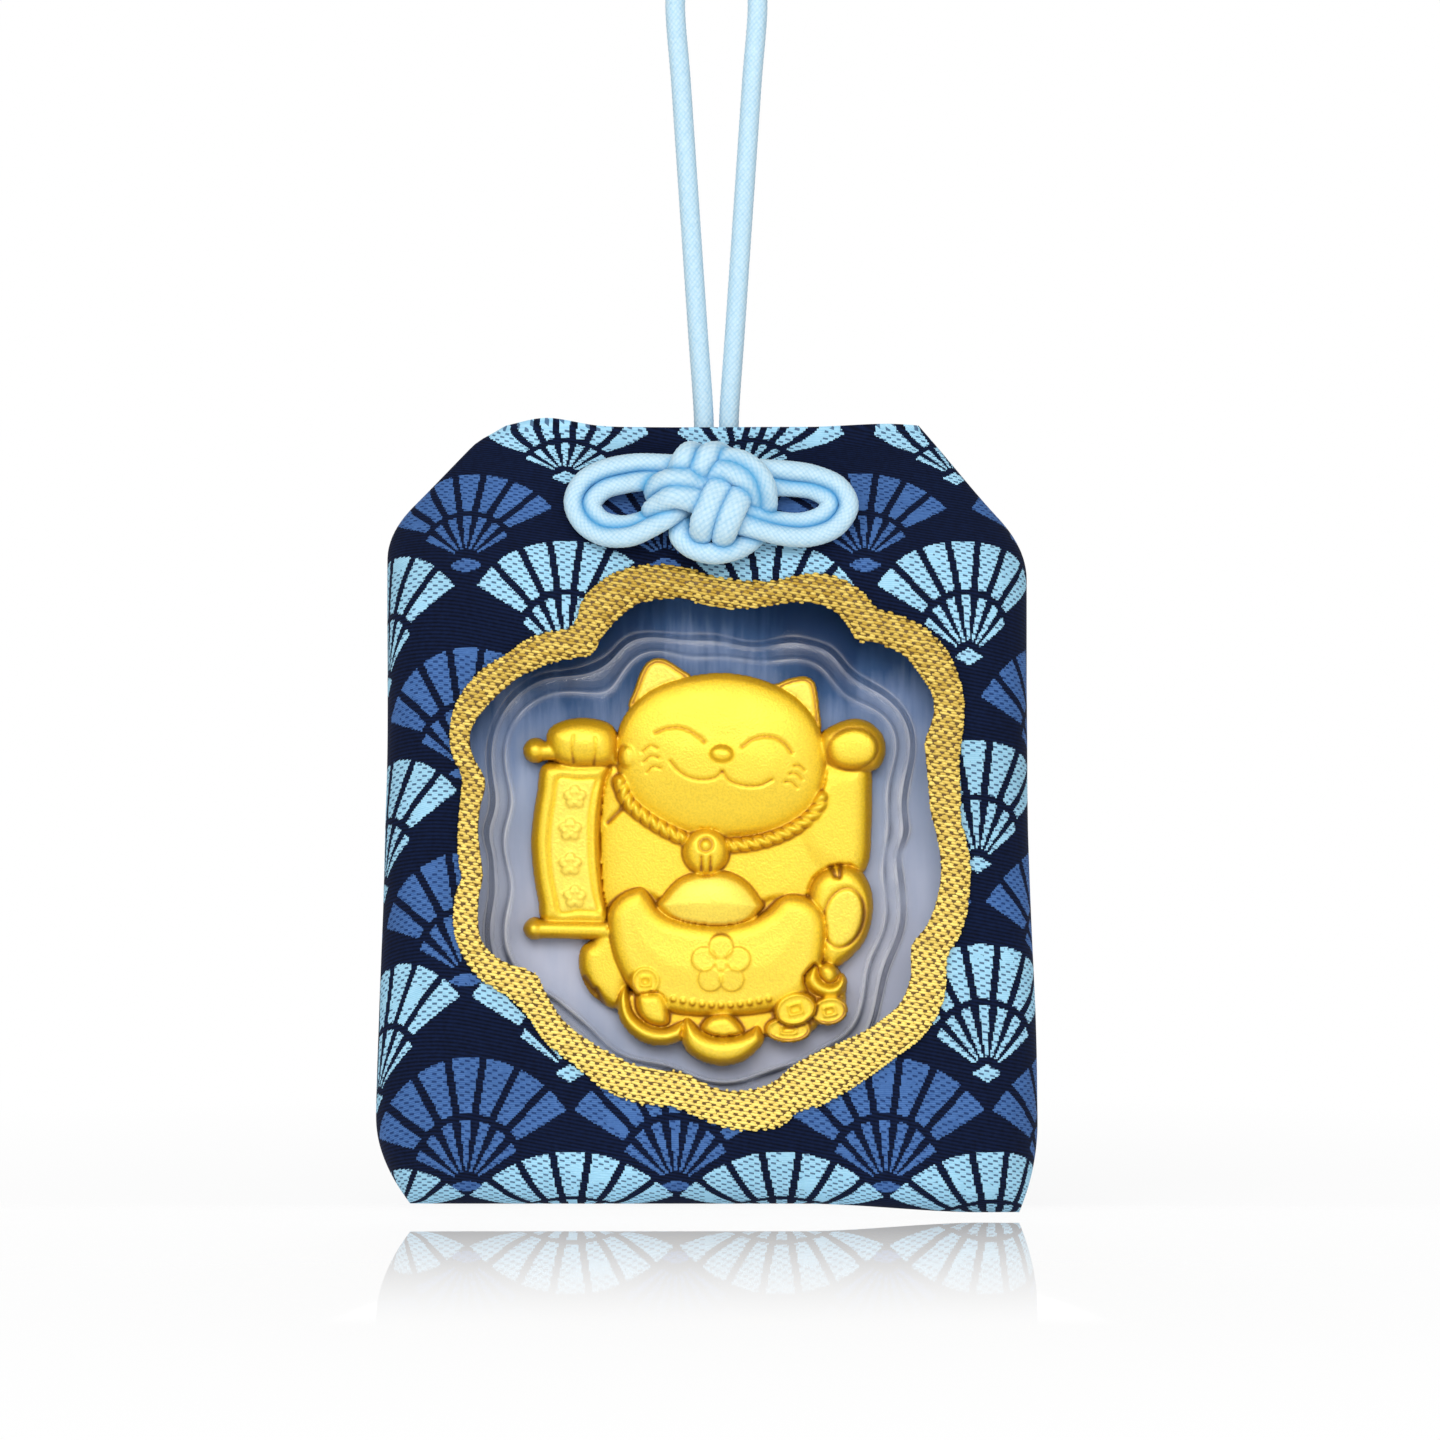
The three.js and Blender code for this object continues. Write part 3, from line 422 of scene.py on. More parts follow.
def fan_row(f, across, drop, column, first_hub, rivet, pointed):
    """One set of fans: seven outer blades round a hub, seven ribs inside them and a rivet below."""
    half_width, half_height, rivet_drop = rivet
    aside = f.math("WRAP", f.math("SUBTRACT", across, column), FAN_PITCH / 2, -FAN_PITCH / 2)
    from_foot = f.math("FLOORED_MODULO", f.math("SUBTRACT", first_hub + CELL_FOOT, drop), FAN_ROW)
    above = f.math("SUBTRACT", from_foot, CELL_FOOT)
    over_ribs = f.math("ADD", above, RIB_DROP)
    far, rib_far = f.length(aside, above), f.length(aside, over_ribs)
    lean = f.math("ABSOLUTE", f.math("ARCTAN2", aside, above))
    rib_lean = f.math("ABSOLUTE", f.math("ARCTAN2", aside, over_ribs))
    off_gap = f.off_line(f.math("SUBTRACT", lean, MIDDLE_BLADE), BLADE)
    off_rib = f.off_line(rib_lean, RIB)
    rim = f.math("MULTIPLY_ADD", drop, RIM_GROWTH, RIM_RADIUS)
    ring = f.math("MULTIPLY_ADD", drop, RING_GROWTH, RING_RADIUS)
    blades = f.both(f.less(lean, FAN_SPREAD), f.more(far, ring), f.less(far, rim),
                    f.more(f.math("MULTIPLY", off_gap, far), BLADE_GAP))
    ribs = f.both(f.less(rib_lean, FAN_SPREAD), f.more(rib_far, RIB_START),
                  f.less(far, f.math("SUBTRACT", ring, RING_GAP)), f.less(off_rib, RIB * RIB_SHARE))
    below = f.math("ABSOLUTE", f.math("SUBTRACT", from_foot, CELL_FOOT - rivet_drop))
    wide = f.math("DIVIDE", f.math("ABSOLUTE", aside), half_width)
    if not pointed:
        wide = f.math("MULTIPLY", wide, wide)
    rivet = f.less(f.math("ADD", wide, f.math("DIVIDE", below, half_height)), 1.0)
    return f.either(blades, ribs, rivet)


def brocade():
    """Navy ribbed ground with woven fans in mid and light blue, tied down by small dark stitches."""
    f = Finish("navy_fan_brocade")
    across, drop = f.map_mm()
    stepped = [f.math("ADD", f.math("SNAP", way, THREAD), THREAD / 2) for way in (across, drop)]
    mid_fans = fan_row(f, *stepped, FAN_COLUMN, MID_HUB, MID_RIVET, False)
    light_fans = fan_row(f, *stepped, FAN_COLUMN + FAN_PITCH / 2, LIGHT_HUB, LIGHT_RIVET, True)
    fans = f.either(mid_fans, light_fans)

    point = f.object_point()
    cloud = f.noise(point, 90, 3)
    patch = f.noise(point, 420, 2)
    fuzz = f.noise(point, 2600, 2)
    tie_row = f.math("DIVIDE", f.math("MULTIPLY_ADD", across, TIE_SLOPE, drop), TIE_ROW)
    shift = f.math("MULTIPLY", f.math("FLOORED_MODULO", f.math("FLOOR", tie_row), 2.0), 0.5)
    tie_along = f.math("FRACT", f.math("ADD", f.math("DIVIDE", across, TIE_PITCH), shift))
    ties = f.both(fans, f.less(f.math("FRACT", tie_row), 0.5), f.less(tie_along, TIE_LENGTH),
                  f.more(patch, 0.4))
    rib = f.math("PINGPONG", tie_row, 0.5)
    pick = f.math("PINGPONG", f.math("DIVIDE", drop, PICK), 0.5)

    ground_tone = f.weigh((rib, 1.1), (fuzz, 0.5))
    fan_tone = f.weigh((pick, 0.9), (fuzz, 0.5))
    navy = f.ramp(ground_tone, (0.2, srgb(1, 4, 20)), (0.85, srgb(15, 29, 62)))
    mid = f.ramp(fan_tone, (0.1, srgb(46, 82, 142)), (0.8, srgb(82, 123, 182)))
    light = f.ramp(fan_tone, (0.1, srgb(140, 198, 228)), (0.8, srgb(178, 224, 246)))
    cloth = f.mix(light_fans, f.mix(mid_fans, navy, mid), light)
    cloth = f.mix(f.math("MULTIPLY", ties, 0.78), cloth, rgba(16, 43, 94))
    f.set(Base_Color=f.scale(cloth, f.range(cloud, 0.3, 0.7, 0.9, 1.08)),
          Roughness=f.range(fans, 0.0, 1.0, 0.9, 0.66), Specular_IOR_Level=0.12)
    f.bump(f.weigh((rib, 0.8), (pick, 0.5), (fans, 0.9), (ties, -1.2)), 0.09, 0.8)
    return f.material


def satin_lining():
    f = Finish("blue_satin_lining")
    _, drop = f.map_mm()
    pick = f.math("PINGPONG", f.math("DIVIDE", drop, 0.12), 0.5)
    fuzz = f.noise(f.object_point(), 1800, 2)
    tone = f.ramp(f.weigh((pick, 1.0), (fuzz, 0.5)), (0.1, srgb(24, 40, 84)), (0.9, srgb(48, 72, 132)))
    f.set(Base_Color=tone, Roughness=f.range(fuzz, 0.3, 0.7, 0.42, 0.58), Sheen_Weight=0.2)
    f.bump(pick, 0.03, 0.6)
    return f.material


def gold_thread(name, dark, bright, metal):
    """Metallic embroidery thread: fine twisted filaments, each stitch with a tone of its own."""
    f = Finish(name)
    grain = f.noise(f.stretch(f.object_point(), (1, 1, 5)), 1700, 2)
    tone = f.weigh((f.attribute("stitch_tone"), 0.75), (grain, 0.35))
    f.set(Base_Color=f.ramp(tone, (0.1, dark), (0.9, bright)), Roughness=f.range(grain, 0.3, 0.7, 0.42, 0.6),
          Metallic=metal, Specular_IOR_Level=0.4)
    f.bump(grain, 0.04, 0.7)
    return f.material


def braided_cord():
    """Pale blue braid, with painted shade in deeper blue where strands press together."""
    f = Finish("pale_blue_braid")
    fuzz = f.noise(f.object_point(), 3200, 2)
    # Painted shade and highlight: the braid's hollows darker, its crests paler.
    tone = f.weigh((f.attribute("braid"), 0.5), (fuzz, 0.6))
    pale = f.ramp(tone, (0.1, srgb(144, 196, 224)), (0.5, srgb(184, 217, 235)), (0.9, srgb(208, 231, 241)))
    # Painted shade: the crease share turns the braid deeper blue.
    f.set(Base_Color=f.mix(f.attribute("crease_shade"), pale, rgba(74, 160, 208)),
          Roughness=f.range(fuzz, 0.3, 0.7, 0.6, 0.8), Sheen_Weight=0.15, Specular_IOR_Level=0.3)
    f.bump(fuzz, 0.03, 0.5)
    return f.material


def struck_gold():
    """Sandy satin gold with painted light and shade: pale on the level forms, deeper on slopes and darkest in
    the cut lines, with painted highlights paler still.
    """
    f = Finish("satin_gold_relief")
    point = f.object_point()
    grain = f.noise(point, 5200, 2)
    cloud = f.noise(point, 260, 2)
    colour = f.ramp(f.attribute("painted_light_and_shade"), (0.0, srgb(154, 101, 6)), (0.3, srgb(214, 156, 8)),
                    (0.65, srgb(250, 202, 22)), (1.0, srgb(252, 213, 54)))
    # Painted highlight in pale yellow.
    colour = f.mix(f.attribute("painted_highlight"), colour, rgba(255, 227, 94))
    f.set(Base_Color=f.scale(colour, f.range(grain, 0.3, 0.7, 0.88, 1.04)),
          Roughness=f.range(cloud, 0.3, 0.7, 0.38, 0.48), Metallic=0.35, Specular_IOR_Level=0.5)
    f.bump(grain, 0.05, 0.7)
    return f.material


def clear_sheet(name, drawn):
    """Thin clear plastic whose gloss grows at a slant. A drawn sheet has painted reflections in milky lines,
    with painted dark lines beside them.
    """
    f = Finish(name)
    ripple = f.noise(f.stretch(f.object_point(), (1, 1, 0.6)), 240, 2)
    see = f.node("ShaderNodeBsdfTransparent")
    see.inputs["Color"].default_value = (0.97, 0.98, 1.0, 1)
    # The milky colour shown at a slant and in the painted reflection lines.
    milk = f.ramp(ripple, (0.3, srgb(205, 208, 222)), (0.7, srgb(240, 240, 244)))
    if drawn:
        milk = f.mix(f.attribute("painted_dark_lines"), milk, rgba(92, 102, 128))
    f.set(Base_Color=milk, Roughness=f.range(ripple, 0.3, 0.7, 0.04, 0.1), Specular_IOR_Level=0.7)
    slant = f.node("ShaderNodeLayerWeight")
    slant.inputs["Blend"].default_value = 0.5
    f.plug(f.bump(ripple, 0.25, 0.5), slant.inputs["Normal"])
    share = f.math("MULTIPLY", f.math("POWER", slant.outputs["Facing"], 4.0), 0.8)
    if drawn:
        share = f.math("ADD", share, f.attribute("painted_reflection"), clamp=True)
    return f.show(f.blend(share, see, f.surface))


def card_print_and_shade():
    """The blue-grey card behind the cat: dark at the top and at the lower left, and pale between, partly its
    print and partly painted shade and light.
    """
    f = Finish("blue_grey_card")
    point = f.object_point()
    x, _, z = f.split(point)

    def rise(low, high, to_low, to_high):
        """A value that goes from one to another between two heights from the window's middle."""
        return f.range(z, (window_z + low) * MM, (window_z + high) * MM, to_low, to_high)

    aside = f.range(x, -0.02, 0.02, 0.0, 1.0)
    # Darker towards the top: partly print, partly painted shade from the border, with painted light in the pale
    # middle.
    fall = f.math("SUBTRACT", rise(-18, 21, 0.0, 1.0), f.math("MULTIPLY_ADD", aside, 0.06, 0.09))
    streak = f.noise(f.stretch(point, (1, 1, 0.12)), 900, 3, 0.6)
    blotch = f.noise(point, 130, 2)
    beside = f.math("ABSOLUTE", f.math("SUBTRACT", x, window_x * MM))
    # Painted shade in the top corners, beside the border.
    corner = f.math("MULTIPLY", rise(9, 16, 0.0, 1.0), f.math(
        "SUBTRACT", f.range(beside, 0.003, 0.01, -0.07, 0.2), f.range(beside, 0.012, 0.017, 0.0, 0.22)))
    # Painted shadow at the lower left, under the cat's foot and the blister's wall.
    foot = f.math("MULTIPLY", rise(-20, -11, 0.62, 0.0), f.range(x, -0.012, 0.006, 1.0, 0.25))
    mottle = f.math("SUBTRACT", f.math("ADD", streak, blotch), 1.0)
    tone = f.weigh((fall, 1.0), (corner, 1.0), (foot, 1.0), (mottle, 0.28))
    colour = f.ramp(tone, (0.1, srgb(206, 208, 220)), (0.45, srgb(170, 182, 204)), (0.62, srgb(124, 146, 182)),
                    (0.76, srgb(62, 94, 136)), (0.92, srgb(31, 62, 102)))
    f.set(Base_Color=colour, Roughness=f.range(streak, 0.3, 0.7, 0.5, 0.7), Specular_IOR_Level=0.12)
    f.bump(streak, 0.05, 0.4)
    return f.material


def grey_board():
    f = Finish("grey_board")
    fibre = f.noise(f.object_point(), 1100, 4, 0.65)
    tone = f.ramp(fibre, (0.3, srgb(134, 130, 122)), (0.7, srgb(172, 168, 160)))
    f.set(Base_Color=tone, Roughness=f.range(fibre, 0.3, 0.7, 0.8, 0.95))
    f.bump(fibre, 0.06, 0.5)
    return f.material


# Camera, light and floor

VIEW_MIDDLE = (0.31, -64.97)
VIEW_WIDTH = 123.1
LENS = 120
SENSOR = 36
FACE_Y = -4.85
FLOOR_Z = -108.0
# Each lamp's place and size in metres, and its watts
LAMPS = {
    "key": ((-0.25, -0.5, 0.25), 0.4, 1.4), "fill": ((0.4, -0.45, 0.0), 0.5, 0.6),
    "front": ((0.03, -0.55, 0.14), 0.3, 1.35), "back_fill": ((0.0, 0.6, 0.2), 0.5, 2.0),
}


def add_camera():
    data = bpy.data.cameras.new("camera")
    data.lens = LENS
    data.sensor_width = SENSOR
    data.clip_start = 0.01
    camera = bpy.data.objects.new("camera", data)
    distance = VIEW_WIDTH / SENSOR * LENS
    camera.location = (VIEW_MIDDLE[0] * MM, (FACE_Y - distance) * MM, VIEW_MIDDLE[1] * MM)
    camera.rotation_euler = (math.pi / 2, 0, 0)
    bpy.context.collection.objects.link(camera)
    bpy.context.scene.camera = camera


def add_lamp(name, place_m, size, watts):
    data = bpy.data.lights.new(name, "AREA")
    data.shape = "DISK"
    data.size = size
    data.energy = watts
    lamp = bpy.data.objects.new(name, data)
    lamp.location = place_m
    aim = Vector((0, 0, window_z * MM)) - Vector(place_m)
    lamp.rotation_euler = aim.to_track_quat("-Z", "Y").to_euler()
    bpy.context.collection.objects.link(lamp)


def seen_rays(tree):
    """1 where the camera looks, directly or by way of gloss or clear plastic."""
    path = tree.nodes.new("ShaderNodeLightPath")
    seen = path.outputs["Is Camera Ray"]
    for kind in ("Is Glossy Ray", "Is Transmission Ray"):
        either = tree.nodes.new("ShaderNodeMath")
        either.operation = "MAXIMUM"
        tree.links.new(seen, either.inputs[0])
        tree.links.new(path.outputs[kind], either.inputs[1])
        seen = either.outputs[0]
    return seen


def light_room():
    world = bpy.data.worlds.new("white_room")
    bpy.context.scene.world = world
    world.use_nodes = True
    tree = world.node_tree
    background = tree.nodes["Background"]
    background.inputs["Color"].default_value = (1, 1, 1, 1)
    strength = tree.nodes.new("ShaderNodeMapRange")
    tree.links.new(seen_rays(tree), strength.inputs["Value"])
    strength.inputs["To Min"].default_value = 0.25
    strength.inputs["To Max"].default_value = 1.0
    tree.links.new(strength.outputs[0], background.inputs["Strength"])
    for name, lamp in LAMPS.items():
        add_lamp(name, *lamp)


def add_floor():
    deselect()
    bpy.ops.mesh.primitive_grid_add(x_subdivisions=4, y_subdivisions=4, size=4, location=(0, 0, FLOOR_Z * MM))
    floor = bpy.context.object
    floor.name = "floor"
    f = Finish("white_floor")
    point = f.object_point()
    _, y, _ = f.split(point)
    near = f.math("POWER", f.range(y, -0.075, -0.004, 0.0, 1.0), 1.6)
    shine = f.math("MULTIPLY", f.math("MULTIPLY", near, f.range(y, 0.006, 0.012, 1.0, 0.0)), 0.6)
    away = f.node("ShaderNodeVectorMath", operation="LENGTH")
    f.plug(point, away.inputs[0])
    bare = f.range(away.outputs["Value"], 0.03, 0.14, 0.86, 1.0)
    f.set(Base_Color=(0.9, 0.9, 0.9, 1), Roughness=0.9)
    white = f.node("ShaderNodeEmission")
    mirror = f.node("ShaderNodeBsdfGlossy")
    for shader in (white, mirror):
        shader.inputs["Color"].default_value = (1, 1, 1, 1)
    mirror.inputs["Roughness"].default_value = 0.02
    lit = f.blend(f.math("MULTIPLY", seen_rays(f.tree), bare), f.surface, white)
    f.show(f.blend(shine, lit, mirror))
    finish_with(floor, f.material)


bpy.context.scene.view_settings.view_transform = "Standard"
add_camera()
light_room()
add_floor()


# Pouch form


def reach(lobes, angle, grow):
    """Distance from the middle of a union of ovals to its edge along each angle."""
    far = np.zeros_like(angle)
    for x, z, half_width, half_height in lobes:
        wide, high = half_width + grow, half_height + grow
        along_x, along_z = np.cos(angle) / wide, np.sin(angle) / high
        from_x, from_z = -x / wide, -z / high
        a = along_x ** 2 + along_z ** 2
        b = from_x * along_x + from_z * along_z
        inside = b * b - a * (from_x ** 2 + from_z ** 2 - 1)
        hit = (-b + np.sqrt(np.maximum(inside, 0))) / a
        far = np.where(inside > 0, np.maximum(far, hit), far)
    return far


window_ovals = [(x, z, r, r) for x, z, r in WINDOW_LOBES]


def smooth_ring(points, count=10):
    """A smooth closed curve through the given points."""
    p = np.asarray(points, float)
    n = len(p)
    ring = []
    for k in range(n):
        a, b, c, d = p[k - 1], p[k], p[(k + 1) % n], p[(k + 2) % n]
        for t in np.arange(count) / count:
            ring.append(0.5 * (2 * b + (c - a) * t + (2 * a - 5 * b + 4 * c - d) * t * t
                               + (3 * b - a - 3 * c + d) * t ** 3))
    return np.array(ring)


def edge_reach(points):
    """Distance from the middle to a smooth closed outline, as angles and lengths."""
    ring = smooth_ring(points)
    angle = np.arctan2(ring[:, 1], ring[:, 0])
    order = np.argsort(angle)
    turns = [angle[order] + turn * 2 * math.pi for turn in (-1, 0, 1)]
    return np.concatenate(turns), np.tile(np.hypot(ring[:, 0], ring[:, 1])[order], 3)


window_line = edge_reach(WINDOW_EDGE)
border_line = edge_reach(BORDER_EDGE)


def window_reach(angle, grow):
    """Edge of the window along each angle. Grown by the border's width it is the border's outer edge."""
    inner = np.interp(angle, *window_line)
    return inner + (np.interp(angle, *border_line) - inner) * grow / BORDER_WIDTH


def border_edges(angle):
    """Both edges of the padded border."""
    return window_reach(angle, BORDER_INSET), window_reach(angle, BORDER_WIDTH - BORDER_INSET)


def full_turn(count):
    """Evenly spaced angles round the window, from the first to the same place again."""
    return 2 * math.pi * np.arange(count + 1) / count


window_side = float(max(reach(window_ovals, np.array([0.0, math.pi]), 0)))
window_bottom = float(reach(window_ovals, np.array([-math.pi / 2]), 0)[0])
body_half_width = window_side + SIDE_MARGIN
pouch_height = WINDOW_DROP + window_bottom + BOTTOM_MARGIN


def half_width_at(drop, height, hand):
    slope = (body_half_width - hand["mouth"]) / hand["shoulder_drop"]
    shoulder = hand["mouth"] + slope * drop
    blend = max(SHOULDER_ROUND - abs(shoulder - body_half_width), 0) / SHOULDER_ROUND
    body = min(shoulder, body_half_width) - blend * blend * SHOULDER_ROUND / 4
    low = (drop - hand["shoulder_drop"]) / (pouch_height - hand["shoulder_drop"])
    swell = SWELL * float(smoothstep(low, 0.3, 0.9))
    corner = max(CORNER_HEIGHT - (height - drop), 0) / CORNER_HEIGHT
    lip = max(LIP_ROUND - drop, 0) / LIP_ROUND
    return body + swell - hand["corner_inset"] * corner ** 2 - hand["lip_inset"] * lip ** 2


def mouth_share(drop):
    return 1 - float(smoothstep(drop, 0, MOUTH_EASE))


def half_depth_at(drop, height, grow):
    full = lerp(POUCH_DEPTH / 2, MOUTH_DEPTH / 2, mouth_share(drop)) - GAP / 2 + grow
    low = max(BOTTOM_ROUND - (height - drop), 0) / BOTTOM_ROUND
    return full * math.sqrt(max(1 - low * low, 0))


def slack(across, drop, side):
    """How far the cloth stands out from its plain form: soft waves, and folds at the mouth and the corners."""
    waves = 0.16 * np.sin(across / 4.1 + 0.7 * side) * np.sin(drop / 6.3 + 0.4)
    waves += 0.1 * np.sin(across / 2.3 + drop / 5.2) * np.cos(drop / 9.0 - 1.1 * side)
    mouth = 0.35 * np.exp(-drop / 7.0) * np.sin(across / 2.9 + 1.3 * side + 0.05 * drop)
    hem = 0.18 * np.exp(-((drop - 1.1) / 0.8) ** 2)
    corner = 0.3 * smoothstep(np.abs(across), 19, 30) * np.sin(drop / 3.6 + np.sign(across) * 0.9 + side)
    return waves + mouth + hem + corner


def settle(x, drop, side):
    """How far the cloth is lifted at the lip, highest left of the knot, and sags at the lower right."""
    inside = np.clip(1 - (np.abs(x) / LEFT["mouth"]) ** 8, 0, 1)
    high, peak, spread = (0.85, -13.7, 3.2) if side == FRONT else (0.5, -16.2, 1.5)
    bump = high * np.exp(-((x - peak) / spread) ** 2)
    ends = 0.45 * smoothstep(x, 8, 17) + 0.3 * smoothstep(-x, 12, 17)
    lip = ((0.2 + bump) * inside + ends) * (1 - float(smoothstep(drop, 0, 7)))
    return lip - 0.75 * smoothstep(x, 8, 24) * float(smoothstep(drop, 50, 66))


def side_edge(drop, height, grow, hand):
    """The quarter round from a side seam to the flat face, as distances from the middle line and depths."""
    width = half_width_at(drop, height, hand) + grow
    edge = lerp(SIDE_ROUND + grow, width, mouth_share(drop))
    turn = np.linspace(0, math.pi / 2, 60)
    return np.stack([width - edge + edge * np.cos(turn), half_depth_at(drop, height, grow) * np.sin(turn)], 1)


def sheet_rows(grow, side, columns, rows, loose):
    """Points of one half of the pouch, row by row from the lip, with the cloth's measures across and down."""
    height = pouch_height + grow
    low = height - BOTTOM_ROUND
    round_foot = low + BOTTOM_ROUND * np.sin(np.linspace(0, math.pi / 2, 100)[1:])
    fine = np.concatenate([np.linspace(0, low, 300), round_foot])
    depth = np.array([half_depth_at(drop, height, grow) for drop in fine])
    run = np.concatenate([[0], np.cumsum(np.hypot(np.diff(fine), np.diff(depth)))])
    measures = np.linspace(0, run[-1], rows + 1)
    drops = np.interp(measures, run, fine)
    points = np.empty((rows + 1, columns + 1, 3))
    across = np.empty((rows + 1, columns + 1))
    down = np.empty((rows + 1, columns + 1))
    for row, drop in enumerate(drops):
        left = side_edge(drop, height, grow, LEFT) * (-1, 1)
        line = np.concatenate([left, side_edge(drop, height, grow, RIGHT)[::-1]])
        arc = np.concatenate([[0], np.cumsum(np.hypot(*np.diff(line, axis=0).T))])
        spots = np.linspace(0, arc[-1], columns + 1)
        x, y = np.interp(spots, arc, line[:, 0]), np.interp(spots, arc, line[:, 1])
        across[row] = spots - np.interp(0, line[:, 0], arc)
        tangent = np.stack([np.gradient(x), np.gradient(y)], 1)
        tangent /= np.maximum(np.linalg.norm(tangent, axis=1), 1e-9)[:, None]
        outward = np.stack([-tangent[:, 1], tangent[:, 0]], 1)
        calm = np.minimum(1, np.sin(np.linspace(0, math.pi, columns + 1)) * 6) * min(1, (height - drop) / 4)
        push = loose * calm * slack(across[row], np.full(columns + 1, drop), side)
        points[row, :, 0] = x + outward[:, 0] * push
        points[row, :, 1] = side * (y + outward[:, 1] * push)
        points[row, :, 2] = settle(x, drop, side) - drop
        down[row] = measures[row] - settle(x, drop, side)
    return points, across, down


# Drops on the cloth and the rows of the woven pattern that lie there
PATTERN_DROPS = [-1.2, 0, 1.37, 3.25, 4.15, 10.8, 50, 62, 90]
PATTERN_ROWS = [-4.7, -4.4, -2.9, 0.7, 1.95, 10.8, 50, 61.7, 89.7]
TOP_PITCH, PITCH_GROWTH = 16.875, 0.0173


def woven_place(across, drop):
    """Where a spot of the cloth lies in the woven pattern, drawn out low down and rolled over at the lip."""
    pitch = TOP_PITCH + PITCH_GROWTH * drop
    u = FAN_COLUMN + (across - FAN_COLUMN) * FAN_PITCH / pitch
    u = u + 1.6 * np.exp(-((across - 5) / 4.5) ** 2 - ((drop - 3) / 3) ** 2)
    return u, np.interp(drop, PATTERN_DROPS, PATTERN_ROWS) - 0.03 * np.maximum(-20 - across, 0) ** 2


def in_frame(points):
    return points + np.array([POUCH_X, 0, LIP_Z])


COLUMNS = 150
ROWS = 150
front_rows, _, _ = sheet_rows(0, FRONT, COLUMNS, ROWS, 1)


def front_face(x, z):
    """Depth of the cloth's front at points given from the pouch's lip and middle line."""
    row_z = -front_rows[:, 0, 2]
    row = np.clip(np.searchsorted(row_z, -z) - 1, 0, ROWS - 1)
    share = (-z - row_z[row]) / (row_z[row + 1] - row_z[row])
    depth = np.empty(len(x))
    for k in range(len(x)):
        near = np.interp(x[k], front_rows[row[k], :, 0], front_rows[row[k], :, 1])
        far = np.interp(x[k], front_rows[row[k] + 1, :, 0], front_rows[row[k] + 1, :, 1])
        depth[k] = lerp(near, far, share[k])
    return depth


def pouch_sheet(name, grow, side, thickness, material, loose=1.0, columns=COLUMNS, rows=ROWS):
    """One half of the pouch as a sheet, with its flat size and area."""
    points, across, drop = sheet_rows(grow, side, columns, rows, loose)
    piece, column, row = fine_grid(name, columns, rows)
    place(piece, in_frame(points[row, column]))
    flip = 1 if side == FRONT else -1
    set_uv(piece, *woven_place(flip * across[row, column], drop[row, column]))
    weld(piece, outward=False)
    if sum(polygon.normal.y for polygon in piece.data.polygons) * side < 0:
        with editing(piece):
            bpy.ops.mesh.flip_normals()
    finish_with(piece, material)
    apply(piece, "SOLIDIFY", thickness=thickness * MM, offset=-1, use_rim=True)
    widths = across[:, -1] - across[:, 0]
    length = drop[-1].max() - drop[0].min()
    return piece, (widths.max() * MM, length * MM), widths.mean() * length * MM * MM


CUT_SIDES = 240
CUT_DEPTH = 9.0


def lobed_cutter(grow):
    """A lobed block that cuts the window, drawn as a ring of edges that is filled and drawn out."""
    angle = np.linspace(0, 2 * math.pi, CUT_SIDES, endpoint=False)
    far = window_reach(angle, grow)
    deselect()
    bpy.ops.mesh.primitive_circle_add(vertices=CUT_SIDES, radius=1, fill_type="NGON")
    cutter = bpy.context.object
    front = np.full(CUT_SIDES, -CUT_DEPTH)
    spots = np.stack([window_x + far * np.cos(angle), front, window_z + far * np.sin(angle)], 1)
    order = np.array([math.atan2(v.co.y, v.co.x) for v in cutter.data.vertices])
    index = np.rint(order / (2 * math.pi) * CUT_SIDES).astype(int) % CUT_SIDES
    place(cutter, spots[index])
    with editing(cutter):
        bpy.ops.mesh.extrude_region_move(TRANSFORM_OT_translate={"value": (0, CUT_DEPTH * MM, 0)})
        face_outward()
    return cutter


def window_area(grow):
    angle = np.linspace(0, 2 * math.pi, 720, endpoint=False)
    return float(np.mean(window_reach(angle, grow) ** 2)) * math.pi * MM * MM


def cut(piece, cutter):
    apply(piece, "BOOLEAN", operation="DIFFERENCE", object=cutter, solver="EXACT")
    bpy.data.objects.remove(cutter)


def cord_slit():
    """The slit that the two strands come through, as a flattened round bar."""
    depth = 0.006
    deselect()
    bpy.ops.mesh.primitive_cylinder_add(
        vertices=32, radius=(CORD_RADIUS + GAP) * MM, depth=depth,
        location=(0, -depth / 2, (LIP_Z - SLIT_DROP) * MM), rotation=(math.pi / 2, 0, 0))
    bar = bpy.context.object
    bpy.ops.object.transform_apply(location=True, rotation=True)
    for vertex in bar.data.vertices:
        vertex.co.x += math.copysign(STRAND_SPACING / 2 * MM, vertex.co.x)
    return bar


brocade_cloth = brocade()
satin = satin_lining()

